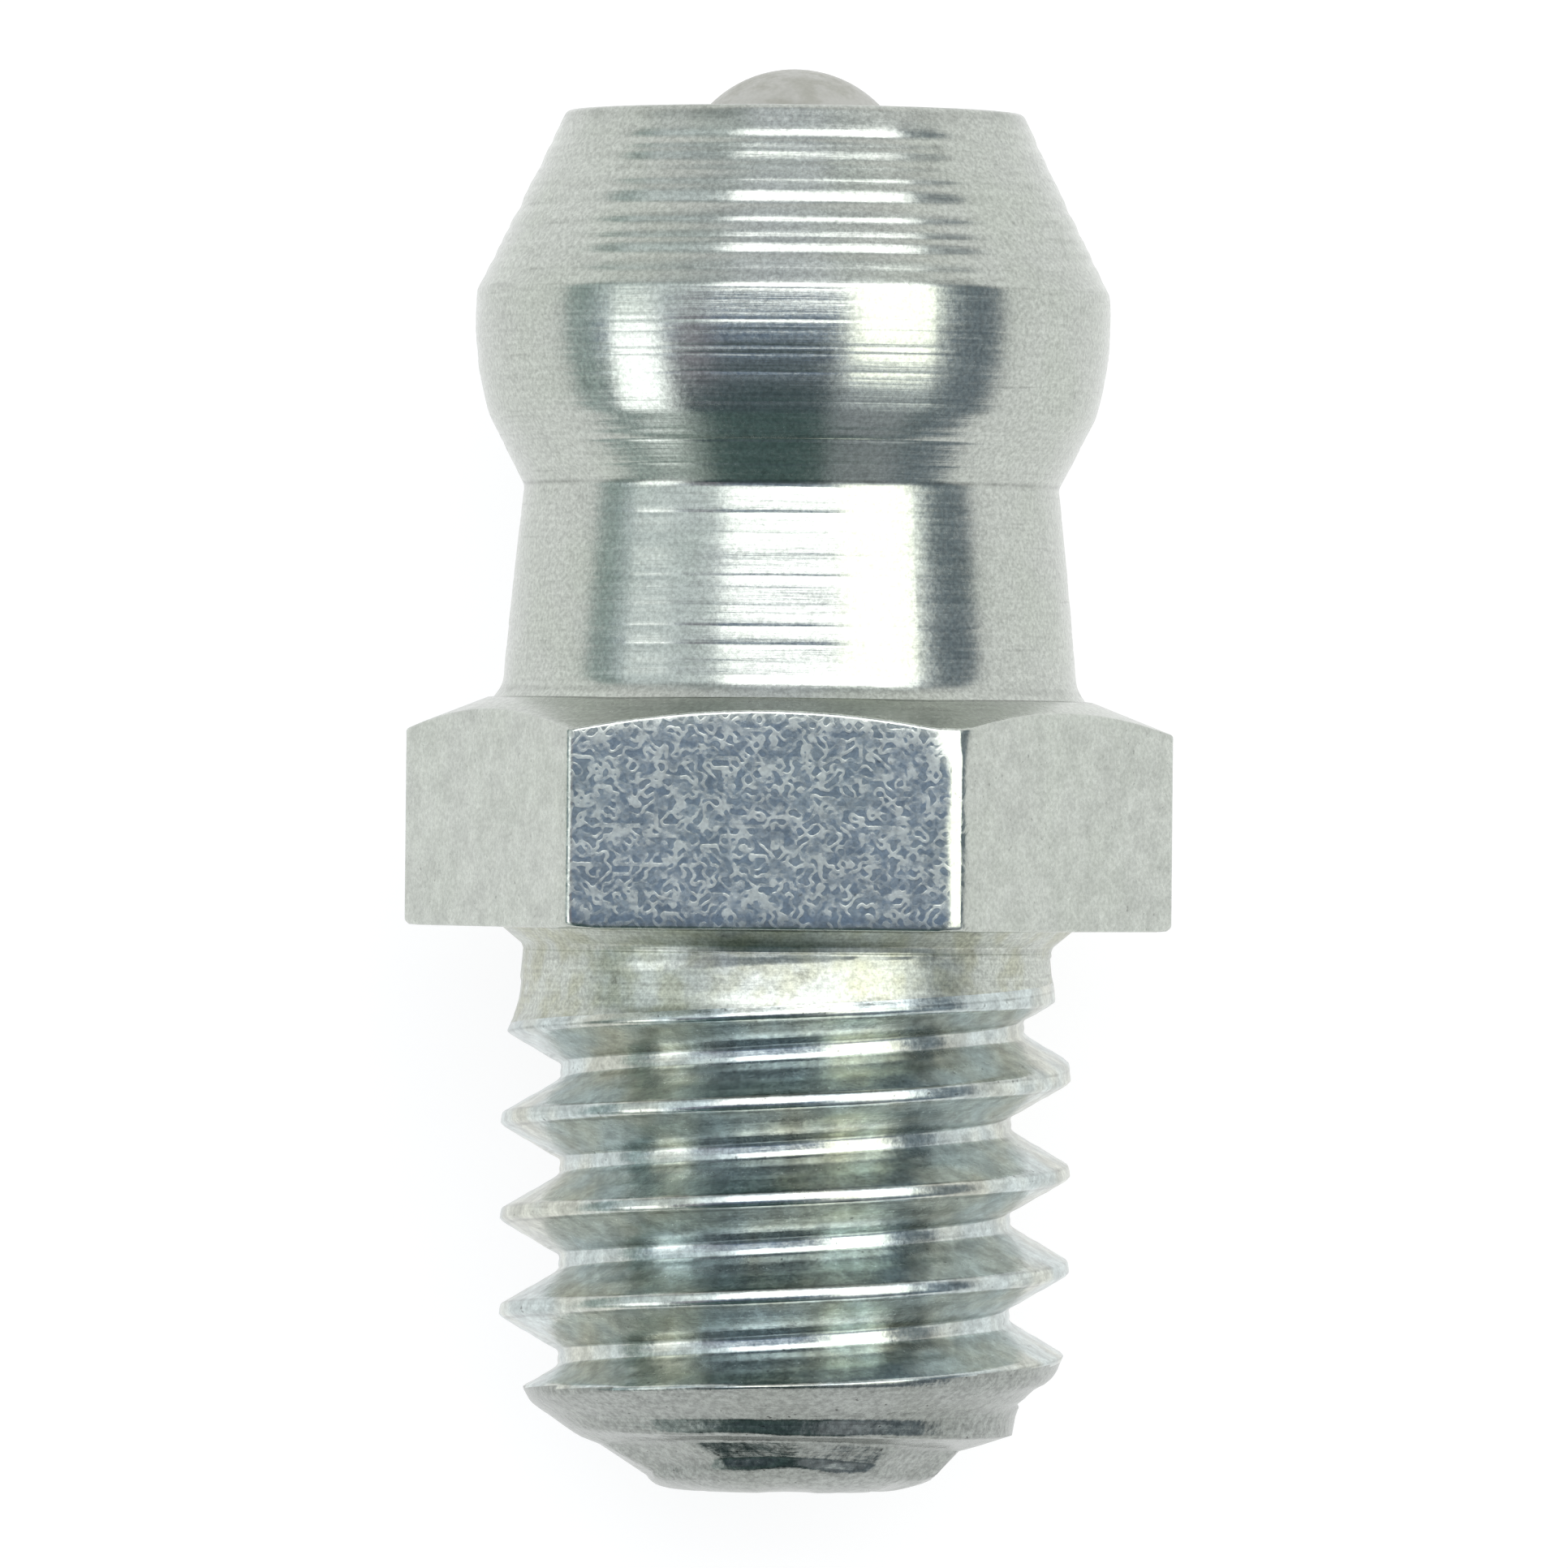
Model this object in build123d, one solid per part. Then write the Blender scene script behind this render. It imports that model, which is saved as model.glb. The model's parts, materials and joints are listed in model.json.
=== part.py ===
from build123d import *
import math
import os

# Straight check-ball grease nipple: M6 x 1 thread, 7 mm hexagon, ball-shaped head for the coupler
# of a grease gun. It has three pieces: the turned body, the check ball and its return spring.
#
# The nipple lies on one flat of its hexagon. Its axis is +Y, towards the head, and +Z is up.
# The origin is on the axis, in the seating face under the hexagon. All lengths are in mm.
# A station is a place along the axis, measured from the seating face.

# Thread on the stub below the seating face
stub_length = 5.93  # seating face to crimped end
thread_major_radius = 2.985
thread_pitch = 1.0
thread_flank_angle = 30.0  # each flank, from square to the axis
thread_crest_share = 1 / 8  # flat of the crest, as a share of the pitch
thread_root_share = 1 / 6  # flat of the root, likewise
runout_length = 0.5  # from the seating face to where the groove has climbed out of the metal
runout_turns = 0.70  # over which it climbs out
runout_angle = 35.0  # how steeply it climbs, from the axis
runout_start_angle = 30.0  # where round the stub the climb starts, from the upper side
cutter_stand_out = 0.25  # how far cutters reach beyond the metal they cut

# Plain shank between the seating face and the thread
shank_radius = 2.77
shank_length = 0.63
shank_taper_length = 0.72  # from the shank out to the full crest
seat_cove = 0.22  # sloped corner between the shank and the seating face

# End chamfer, and the rim crimped in behind the spring; heights are from the stub's end
end_chamfer_angle = 49.0  # from the axis
crimp_band_radius = 2.32
crimp_band_height = 0.78
crimp_ledge_radius = 2.28
crimp_ledge_height = 0.62
crimp_shoulder_radius = 1.93
crimp_shoulder_height = 0.49
crimp_foot_radius = 1.68
crimp_foot_height = 0.20
crimp_land_radius = 1.05
crimp_flat_count = 10
crimp_flat_depth = 0.055
crimp_flat_angle = -4.0  # where round the rim the first flat lies, from the upper side
lip_thickness = 0.48
mouth_radius = 0.90

# Hexagon
hexagon_across_flats = 7.0
hexagon_corner_length = 2.0  # straight length of the six corner edges
hexagon_corner_fillet = 0.13
hexagon_top_angle = 22.0  # turned chamfer on the head's side, from square to the axis
hexagon_deburr_height = 0.05  # of the six corners at the seating face
hexagon_deburr_angle = 30.0

# Neck
neck_base_radius = 3.00
neck_top_radius = 2.80
neck_length = 2.06
neck_swell = 0.026  # how far its side bows out

# Head that the coupler grips
head_radius = 3.32
head_rise = 1.80  # from the neck's top to the head's widest place
grip_height = 1.01  # how far the ball form reaches below the widest place
crown_height = 0.29  # and above it
nose_length = 1.92
nose_angle = 26.0  # from the axis
nose_edge_break = 0.06

# Valve
ball_radius = 1.25
ball_protrusion = 0.44  # above the nose face
ball_seat_angle = 30.0  # from the axis
ball_seat_clearance = 0.02
bore_radius = 1.45

# Return spring
wire_radius = 0.15
wire_sides = 6  # the round wire is drawn as a prism of the same section area
coil_radius = 1.05  # to the middle of the wire
open_turns = 8
closed_turns = 1.0  # at each end
closing_turns = 0.5  # between the open turns and each closed end
closed_gap = 0.02  # between neighbouring closed turns
spring_clearance = 0.02  # to the lip, and to the ball


def slope(angle):
    """Run across for one unit along, at this angle in degrees."""
    return math.tan(math.radians(angle))


# Stations and radii that follow from the sizes above
end_station = -stub_length
lip_station = end_station + lip_thickness
thread_sharp_depth = thread_pitch / 2 / slope(thread_flank_angle)
thread_depth = thread_sharp_depth * (1 - thread_crest_share - thread_root_share)
thread_root_radius = thread_major_radius - thread_depth
runout_station = -(runout_length + runout_turns * thread_pitch)
hexagon_corner_radius = hexagon_across_flats / 2 / math.cos(math.radians(30))
neck_base_station = hexagon_corner_length + slope(hexagon_top_angle) * (
    hexagon_corner_radius - neck_base_radius
)
neck_top_station = neck_base_station + neck_length
head_station = neck_top_station + head_rise
nose_base_station = head_station + crown_height
nose_station = nose_base_station + nose_length
ball_station = nose_station + ball_protrusion - ball_radius
along_axis = (0, 1, 0)


def corner(section, point):
    """The corner of a section that lies at this (radius, station)."""
    return section.vertices().sort_by_distance((*point, 0))[0]


def body_section():
    """Half section of the turned body, drawn with radius as X and station as Y."""
    collar_radius = hexagon_corner_radius + cutter_stand_out
    deburr_radius = hexagon_corner_radius - hexagon_deburr_height / slope(hexagon_deburr_angle)
    crown_radius = math.sqrt(head_radius**2 - crown_height**2)
    seat_slant = (ball_radius + ball_seat_clearance) / math.cos(math.radians(ball_seat_angle))
    seat_rise = (seat_slant - bore_radius) / slope(ball_seat_angle)

    crimp_land = (crimp_land_radius, end_station)
    crimp_foot = (crimp_foot_radius, end_station + crimp_foot_height)
    crimp_band = (crimp_band_radius, end_station + crimp_band_height)
    chamfer_length = (thread_major_radius - crimp_band_radius) / slope(end_chamfer_angle)
    seat = (shank_radius, 0)
    neck_base = (neck_base_radius, neck_base_station)
    neck_top = (neck_top_radius, neck_top_station)
    grip = (math.sqrt(head_radius**2 - grip_height**2), head_station - grip_height)
    crown = (crown_radius, nose_base_station)
    nose = (crown_radius - nose_length * slope(nose_angle), nose_station)

    outside = [
        TangentArc(crimp_land, crimp_foot, tangent=(1, 0)),
        Polyline(
            crimp_foot,
            (crimp_shoulder_radius, end_station + crimp_shoulder_height),
            (crimp_ledge_radius, end_station + crimp_ledge_height),
            crimp_band,
            (thread_major_radius, crimp_band[1] + chamfer_length),
            (thread_major_radius, -(shank_length + shank_taper_length)),
            (shank_radius, -shank_length),
            seat,
            (deburr_radius, 0),
            (collar_radius, (collar_radius - deburr_radius) * slope(hexagon_deburr_angle)),
            (collar_radius, hexagon_corner_length - cutter_stand_out * slope(hexagon_top_angle)),
            neck_base,
        ),
        SagittaArc(neck_base, neck_top, -neck_swell),
        Line(neck_top, grip),
        RadiusArc(grip, crown, -head_radius),
        Line(crown, nose),
    ]
    inside = Polyline(
        nose,
        (seat_slant - (nose_station - ball_station) * slope(ball_seat_angle), nose_station),
        (bore_radius, ball_station + seat_rise),
        (bore_radius, lip_station),
        (mouth_radius, lip_station),
        (mouth_radius, end_station),
        crimp_land,
    )
    section = make_face([*outside, inside])
    section = chamfer(corner(section, seat), seat_cove)
    return chamfer(corner(section, nose), nose_edge_break)


def hexagon_waste():
    """Ring of metal to be milled off the collar round its six flats."""
    bar_end = Plane(origin=(0, -cutter_stand_out, 0), x_dir=(1, 0, 0), z_dir=along_axis)
    outline = RegularPolygon(hexagon_across_flats / 2, 6, major_radius=False)
    outline = fillet(outline.vertices(), hexagon_corner_fillet)
    ring = Circle(hexagon_corner_radius + 2 * cutter_stand_out) - outline
    return extrude(bar_end * ring, neck_base_station + 2 * cutter_stand_out)


def crimp_flats():
    """Small flats that the closing tool presses round the rim, as blocks to cut away."""
    radial = crimp_shoulder_radius - crimp_foot_radius
    axial = crimp_shoulder_height - crimp_foot_height
    outward = Vector(0, -radial, axial).normalized()
    middle = Vector(
        0,
        end_station + (crimp_foot_height + crimp_shoulder_height) / 2,
        (crimp_foot_radius + crimp_shoulder_radius) / 2,
    )
    flat = Plane(origin=middle - outward * crimp_flat_depth, x_dir=(1, 0, 0), z_dir=outward)
    block = Box(
        2 * crimp_shoulder_radius * math.sin(math.pi / crimp_flat_count),
        math.hypot(radial, axial),
        cutter_stand_out,
        align=(Align.CENTER, Align.CENTER, Align.MIN),
    )
    return [
        Rot(0, crimp_flat_angle + 360 * number / crimp_flat_count, 0) * (flat * block)
        for number in range(crimp_flat_count)
    ]


def helical_path(radius, windings, first_station):
    """Path round the axis from the upper side, a helix for each (turns, pitch) of the windings."""
    path = []
    station, angle = first_station, 0
    for turns, pitch in windings:
        helix = Edge.make_helix(pitch, turns * pitch, radius, (0, station, 0), along_axis)
        path.append(Rot(0, angle, 0) * helix)
        station += turns * pitch
        angle += 360 * turns
    return path


def thread_groove():
    """Groove of the thread: whole turns from below the stub's end, then the climb out."""
    root_width = thread_root_share * thread_pitch
    top_width = thread_pitch * (1 - thread_crest_share)
    section = make_face(
        Polyline(
            (0, -root_width / 2),
            (thread_depth, -top_width / 2),
            (thread_depth + cutter_stand_out, -top_width / 2),
            (thread_depth + cutter_stand_out, top_width / 2),
            (thread_depth, top_width / 2),
            (0, root_width / 2),
            close=True,
        )
    )
    turns = math.ceil((runout_station - end_station) / thread_pitch)
    path = helical_path(
        thread_root_radius, [(1, thread_pitch)] * turns, runout_station - turns * thread_pitch
    )
    climb = Edge.make_helix(
        thread_pitch,
        runout_turns * thread_pitch,
        thread_root_radius,
        (0, runout_station, 0),
        along_axis,
        runout_angle,
    )
    start = Plane(origin=path[0] @ 0, x_dir=(0, 0, 1), z_dir=path[0] % 0)
    groove = sweep(start * section, path=Wire([*path, climb]), is_frenet=True)
    return Rot(0, runout_start_angle, 0) * groove


def nipple_body():
    """Turned and milled body, with its thread, bore, ball seat and crimped rim."""
    turned = revolve(body_section(), Axis.Y)
    return turned - hexagon_waste() - crimp_flats() - thread_groove()


def check_ball():
    """Ball that shuts the nose from inside."""
    return Pos(0, ball_station, 0) * Sphere(ball_radius)


def return_spring():
    """Compression spring with closed ends, between the lip and the ball."""
    low_station = lip_station + spring_clearance + wire_radius
    ball_reach = ball_radius + spring_clearance + wire_radius
    high_station = ball_station - math.sqrt(ball_reach**2 - coil_radius**2)

    closed_pitch = 2 * wire_radius + closed_gap
    end_rise = 2 * closed_pitch * (closed_turns + closing_turns / 2)
    open_pitch = (high_station - low_station - end_rise) / (open_turns + closing_turns)
    closed = (closed_turns, closed_pitch)
    closing = (closing_turns, (closed_pitch + open_pitch) / 2)
    windings = [closed, closing, *[(1, open_pitch)] * open_turns, closing, closed]

    path = Wire(helical_path(coil_radius, windings, low_station))
    section_area = math.pi * wire_radius**2
    corner_radius = math.sqrt(2 * section_area / wire_sides / math.sin(2 * math.pi / wire_sides))
    start = Plane(origin=path @ 0, x_dir=(0, 0, 1), z_dir=path % 0)
    return sweep(start * RegularPolygon(corner_radius, wire_sides), path=path, is_frenet=True)


os.makedirs("parts", exist_ok=True)
for make_piece in (nipple_body, check_ball, return_spring):
    export_step(make_piece(), f"parts/{make_piece.__name__}.step")
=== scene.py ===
import json
import logging
import math
from collections.abc import Sequence
from dataclasses import dataclass, field
from enum import Enum
from functools import cached_property

import bpy
import numpy as np
from mathutils import Matrix, Quaternion, Vector

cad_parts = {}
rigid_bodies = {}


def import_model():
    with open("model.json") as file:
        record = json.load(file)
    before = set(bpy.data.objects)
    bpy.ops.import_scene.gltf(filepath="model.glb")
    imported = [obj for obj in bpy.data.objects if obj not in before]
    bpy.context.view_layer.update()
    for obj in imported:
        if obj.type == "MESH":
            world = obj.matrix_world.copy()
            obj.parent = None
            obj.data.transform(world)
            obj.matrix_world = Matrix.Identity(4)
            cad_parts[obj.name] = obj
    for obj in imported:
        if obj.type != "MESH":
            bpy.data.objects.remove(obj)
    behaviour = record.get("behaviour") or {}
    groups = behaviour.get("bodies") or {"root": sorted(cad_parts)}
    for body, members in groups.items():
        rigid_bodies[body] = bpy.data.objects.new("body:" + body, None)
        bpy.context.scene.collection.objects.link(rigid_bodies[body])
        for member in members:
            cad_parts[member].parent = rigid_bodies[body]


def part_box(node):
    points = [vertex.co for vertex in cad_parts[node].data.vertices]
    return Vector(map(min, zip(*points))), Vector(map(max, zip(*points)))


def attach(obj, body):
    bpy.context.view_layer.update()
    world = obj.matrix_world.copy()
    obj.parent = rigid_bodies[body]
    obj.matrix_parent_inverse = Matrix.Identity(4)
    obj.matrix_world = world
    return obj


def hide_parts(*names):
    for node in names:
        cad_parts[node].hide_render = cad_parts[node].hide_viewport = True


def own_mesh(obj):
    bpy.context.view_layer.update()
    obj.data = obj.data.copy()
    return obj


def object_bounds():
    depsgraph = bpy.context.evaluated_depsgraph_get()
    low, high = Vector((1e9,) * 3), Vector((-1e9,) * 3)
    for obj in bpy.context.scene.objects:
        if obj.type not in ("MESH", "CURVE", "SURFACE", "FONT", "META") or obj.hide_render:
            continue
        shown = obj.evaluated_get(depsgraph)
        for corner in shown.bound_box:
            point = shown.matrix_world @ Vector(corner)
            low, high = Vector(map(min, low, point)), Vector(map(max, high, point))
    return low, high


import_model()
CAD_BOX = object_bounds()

# A small zinc-plated grease nipple, lying on one flat of its hexagon on a pale floor.
# Its axis is +Y, towards the head, and +Z is up. A station is a place along the axis, measured
# from the seating face under the hexagon, and a bearing is an angle round the axis, from +Z
# towards +X. Sizes are in mm and become metres when a mesh is made. Angles are in degrees.

MM = 0.001
LOG = logging.getLogger("grease_nipple")

Colour = tuple[float, float, float]
Point = tuple[float, float]  # a (radius, station)
Span = tuple[float, float]  # where something starts and where it ends
Ring = np.ndarray  # one (radius, station) for each column of a skin
Socket = bpy.types.NodeSocket
Feed = Socket | float | tuple[float, ...]  # what an input of a node takes: a link or a plain value


def sine(degrees: float | np.ndarray) -> float | np.ndarray:
    """Sine of an angle in degrees."""
    return np.sin(np.radians(degrees))


def cosine(degrees: float | np.ndarray) -> float | np.ndarray:
    """Cosine of an angle in degrees."""
    return np.cos(np.radians(degrees))


def slope(degrees: float) -> float:
    """Run across for one unit along, at this angle in degrees."""
    return math.tan(math.radians(degrees))


def unit(vectors: np.ndarray) -> np.ndarray:
    """A vector, or each row of an array of them, at a length of one."""
    return vectors / np.linalg.norm(vectors, axis=-1, keepdims=True)


def lesser(first: np.ndarray, second: np.ndarray, blend: float) -> np.ndarray:
    """The smaller of two values, with the crease between them rounded; never above either."""
    overlap = np.maximum(blend - np.abs(first - second), 0.0)
    return np.minimum(first, second) - overlap**2 / (4 * blend)


def greater(first: np.ndarray, second: np.ndarray, blend: float) -> np.ndarray:
    """The larger of two values, with the crease between them rounded; never below either."""
    return -lesser(-first, -second, blend)


def pressed(radii: np.ndarray, bearings: np.ndarray, bearing: float, distance: float,
            reach: float, blend: float) -> np.ndarray:
    """Presses a small flat into a ring.

    Args:
        radii: Radii of the ring.
        bearings: Bearings of its columns.
        bearing: Bearing that the flat faces.
        distance: Distance of the flat's plane from the axis.
        reach: Farthest from that bearing that the flat can go.
        blend: Difference in radius under which the flat runs into the ring.

    Returns:
        The new radii.
    """
    edge_on = 0.3  # cosine at which the plane is taken to be out of the ring's reach
    off = (bearings - bearing + 180) % 360 - 180
    plane = distance / np.maximum(cosine(off), edge_on)
    return np.where(np.abs(off) < reach, lesser(radii, plane, blend), radii)


# ----------------------------------------------------------------------------- node trees


@dataclass(frozen=True)
class Patches:
    """Patches on a surface: a noise, and the range of its heights over which they set in."""

    fineness: float
    low: float
    high: float
    detail: float = 2.0
    roughness: float = 0.5


class Wiring:
    """Short-hand for laying out the nodes of one material or world."""

    def __init__(self, owner: bpy.types.Material | bpy.types.World) -> None:
        """Starts on an empty tree of the owner's.

        Args:
            owner: The new material or world.
        """
        owner.use_nodes = True
        self.tree = owner.node_tree
        self.tree.nodes.clear()

    def node(self, kind: str, feeds: dict[int | str, Feed] | None = None,
             **settings: object) -> bpy.types.Node:
        """Adds a node.

        Args:
            kind: Blender's name for the node's type, without the ShaderNode in front.
            feeds: Input name or number to a value, or to the socket that drives it.
            settings: Attributes to set on the node.

        Returns:
            The new node.
        """
        made = self.tree.nodes.new("ShaderNode" + kind)
        for name, value in settings.items():
            setattr(made, name, value)
        for key, value in (feeds or {}).items():
            self.feed(made.inputs[key], value)
        return made

    def feed(self, socket: Socket, value: Feed) -> None:
        """Links a socket to another one, or gives it a plain value.

        Args:
            socket: The input.
            value: What it takes.
        """
        if isinstance(value, Socket):
            self.tree.links.new(value, socket)
        else:
            socket.default_value = value

    def maths(self, operation: str, *values: Feed) -> Socket:
        """Output of a Math node that works on these values."""
        return self.node("Math", dict(enumerate(values)), operation=operation).outputs[0]

    def chain(self, operation: str, *values: Feed) -> Feed:
        """Works through several values with one operation, from the first to the last.

        Args:
            operation: A Math node's operation on two values.
            values: The values.

        Returns:
            What comes of them.
        """
        whole, *others = values
        for other in others:
            whole = self.maths(operation, whole, other)
        return whole

    def total(self, *values: Feed) -> Feed:
        """All the values, added."""
        return self.chain("ADD", *values)

    def product(self, *values: Feed) -> Feed:
        """All the values, multiplied."""
        return self.chain("MULTIPLY", *values)

    def apart(self, value: Feed, middle: float) -> Socket:
        """How far a value is from a middle one, on either side."""
        return self.maths("ABSOLUTE", self.maths("SUBTRACT", value, middle))

    def spread(self, value: Socket, low: float, high: float,
               start: float = 0.0, end: float = 1.0) -> Socket:
        """Carries a value from the range low to high over to the range start to end, clamped."""
        feeds = {"Value": value, 1: low, 2: high, 3: start, 4: end}
        return self.node("MapRange", feeds, interpolation_type="SMOOTHSTEP").outputs[0]

    def swung(self, noise: Socket, start: float, end: float) -> Socket:
        """Carries the heights that a noise mostly has over to the range start to end."""
        usual = (0.30, 0.70)
        return self.spread(noise, *usual, start, end)

    def noise(self, fineness: float, detail: float = 2.0, roughness: float = 0.5,
              vector: Socket | None = None) -> Socket:
        """Height of a noise texture on the surface, or over another vector, about 0 to 1."""
        place = {"Vector": vector or self.spot, "Scale": fineness}
        return self.node("TexNoise", {**place, "Detail": detail, "Roughness": roughness}).outputs["Fac"]

    def patchy(self, patches: Patches, start: float = 0.0, end: float = 1.0,
               vector: Socket | None = None) -> Socket:
        """Value that goes from start, between the patches, to end, within them."""
        noise = self.noise(patches.fineness, patches.detail, patches.roughness, vector)
        return self.spread(noise, patches.low, patches.high, start, end)

    def mix(self, share: Feed, first: Feed, second: Feed) -> Socket:
        """Colour between two colours."""
        return self.node("Mix", {0: share, 6: first, 7: second}, data_type="RGBA").outputs[2]

    def vector(self, x: Feed, y: Feed, z: Feed) -> Socket:
        """A vector put together from three values."""
        return self.node("CombineXYZ", {0: x, 1: y, 2: z}).outputs[0]

    def scaled(self, vector: Socket, factor: Feed) -> Socket:
        """A vector, or a colour, times a factor."""
        return self.node("VectorMath", {0: vector, "Scale": factor}, operation="SCALE").outputs[0]

    @cached_property
    def spot(self) -> Socket:
        """Place on the surface in the nipple's own frame, in mm."""
        return self.scaled(self.node("TexCoord").outputs["Object"], 1 / MM)

    def metal(self, feeds: dict[str, Feed], height: Socket, depth: float) -> None:
        """Ends a material's tree in a surface with a relief.

        Args:
            feeds: What the shader's inputs take.
            height: Height of the relief.
            depth: Depth of the relief in metres, for a height of one.
        """
        relief = self.node("Bump", {"Height": height, "Strength": 1.0, "Distance": depth})
        shader = self.node("BsdfPrincipled", {**feeds, "Normal": relief.outputs[0]})
        self.node("OutputMaterial", {"Surface": shader.outputs[0]})


def opaque(colour: Colour) -> tuple[float, float, float, float]:
    """The colour with an alpha of one."""
    return (*colour, 1.0)


@dataclass(frozen=True)
class PlatedSteel:
    """Bright zinc plating over cut, rolled or pressed steel, with the marks of its making.

    Widths, sizes and depths are in mm. Rings run round the axis, or along the thread where it has
    a lead, and a score is a ring that went deeper. Shares are from 0 to 1. A shade line is painted
    shade in a crease or along an edge: a (middle, half-width, darkness) along the axis, or across
    the thread's pitch.
    """

    name: str
    colour: Colour = (0.510, 0.535, 0.495)
    tint: Colour = (0.47, 0.52, 0.44)
    tint_share: float = 0.4
    tint_size: float = 0.9
    mottle: float = 0.13
    mottle_size: float = 0.045
    streaks: float = 0.08
    clouds: float = 0.0
    cloud_size: float = 0.12
    roughness: float = 0.22
    roughness_swing: float = 0.12
    brushing: float = 0.0
    lead: float = 0.0
    lead_start: float = 0.685
    ring_width: float = 0.035
    ring_depth: float = 0.0010
    ring_break: float = 0.45
    scores: Patches = Patches(1.0, 0.66, 0.76, 1.0)
    score_stretch: float = 0.55
    score_break: float = 0.9
    score_share: float = 0.25
    score_shade: float = 0.6
    score_matt: float = 0.15
    grain_size: float = 0.05
    grain_depth: float = 0.0006
    wave_size: float = 0.6
    wave_depth: float = 0.003
    speck_share: float = 0.0
    speck_size: float = 0.10
    speck_width: float = 0.14
    speck_core: float = 0.4
    speck_light: float = 0.6
    speck_matt: float = 0.24
    speck_depth: float = 0.0012
    speck_patches: Patches = Patches(6.0, 0.38, 0.60)
    speck_strengths: Span = (0.35, 1.15)
    pit_share: float = 0.15
    pit_patches: Patches = Patches(14.0, 0.69, 0.76)
    grime: float = 0.3
    grime_patches: Patches = Patches(2.6, 0.56, 0.80, 6.0, 0.72)
    # Shade lines: painted shade, darker bands of the colour in creases and along edges.
    shade_lines: tuple[tuple[float, float, float], ...] = ()
    shade_line_patches: Patches = Patches(2.2, 0.36, 0.62, 4.0, 0.7)
    shade_line_least: float = 0.25

    def material(self) -> bpy.types.Material:
        """Lays out the material's nodes.

        Returns:
            The finished material.
        """
        material = bpy.data.materials.new(self.name)
        lay = Wiring(material)
        rings, scores, station = self.rings(lay)
        # Where scores run, with the painted shade of the shade lines.
        dark = lay.maths("MAXIMUM", scores, self.painted_shade(lay, station))
        grain = lay.noise(1 / self.grain_size, 2.0, 0.6)
        wave = lay.noise(1 / self.wave_size)
        specks = self.specks(lay)
        uneven = lay.total(lay.product(rings, 0.5), lay.product(grain, 0.5))
        half = self.roughness_swing / 2
        roughness = lay.swung(uneven, self.roughness - half, self.roughness + half)
        matt = [lay.product(specks, self.speck_matt), lay.product(scores, self.score_matt)]
        reliefs = ((rings, self.ring_depth), (grain, self.grain_depth), (wave, self.wave_depth),
                   (specks, self.speck_depth))
        looks = {
            "Base Color": self.paint(lay, rings, dark, specks),
            "Metallic": 1.0,
            "Roughness": lay.total(roughness, *matt),
            "Anisotropic": self.brushing,
            "Anisotropic Rotation": 0.25,
            "Tangent": lay.node("Tangent", direction_type="RADIAL", axis="Y").outputs[0],
        }
        lay.metal(looks, lay.total(*(lay.product(part, depth) for part, depth in reliefs)), MM)
        return material

    def rings(self, lay: Wiring) -> tuple[Socket, Socket, Socket]:
        """Fine lines round the axis, or along the thread.

        Args:
            lay: The material's wiring.

        Returns:
            Height of the lines, where scores run, and place along the axis or across the pitch.
        """
        x, station, z = lay.node("SeparateXYZ", {0: lay.spot}).outputs
        reach = lay.maths("SQRT", lay.total(lay.product(x, x), lay.product(z, z)))
        if self.lead:
            turn = lay.maths("DIVIDE", lay.maths("ARCTAN2", x, z), 2 * math.pi)
            turns = lay.maths("SUBTRACT", lay.maths("DIVIDE", station, self.lead), turn)
            station = lay.product(lay.maths("FRACT", lay.total(turns, self.lead_start)), self.lead)
        across = lay.maths("DIVIDE", lay.total(station, reach), self.ring_width)
        beside = [lay.product(place, self.ring_break) for place in (x, z)]
        rings = lay.noise(1.0, 3.0, 0.65, lay.vector(across, *beside))
        wide = lay.product(across, self.score_stretch)
        beside = [lay.product(place, self.score_break) for place in (x, z)]
        scores = lay.patchy(self.scores, 0.0, self.score_share, lay.vector(wide, *beside))
        return rings, scores, station

    def painted_shade(self, lay: Wiring, station: Socket) -> Feed:
        """Painted shade along the shade lines, in creases and along edges, uneven along each.

        Args:
            lay: The material's wiring.
            station: Place along the axis, or across the thread's pitch.

        Returns:
            How dark it is, from 0 to 1.
        """
        patches = lay.patchy(self.shade_line_patches, self.shade_line_least, 1.0)
        darkest = 0.0
        for middle, half_width, share in self.shade_lines:
            dark = lay.spread(lay.apart(station, middle), half_width, 0.0, 0.0, share)
            darkest = lay.maths("MAXIMUM", dark, darkest)
        return lay.product(patches, darkest)

    def specks(self, lay: Wiring) -> Socket:
        """Where the crystals of the plating are matt: rims of round cells, stronger in patches.

        Args:
            lay: The material's wiring.

        Returns:
            How matt it is.
        """
        cells = lay.noise(1 / self.speck_size, 0.3, 0.45)
        core = self.speck_core * self.speck_width
        rims = lay.spread(lay.apart(cells, 0.5), self.speck_width, core, 0.0, self.speck_share)
        return lay.product(rims, lay.patchy(self.speck_patches, *self.speck_strengths))

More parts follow.
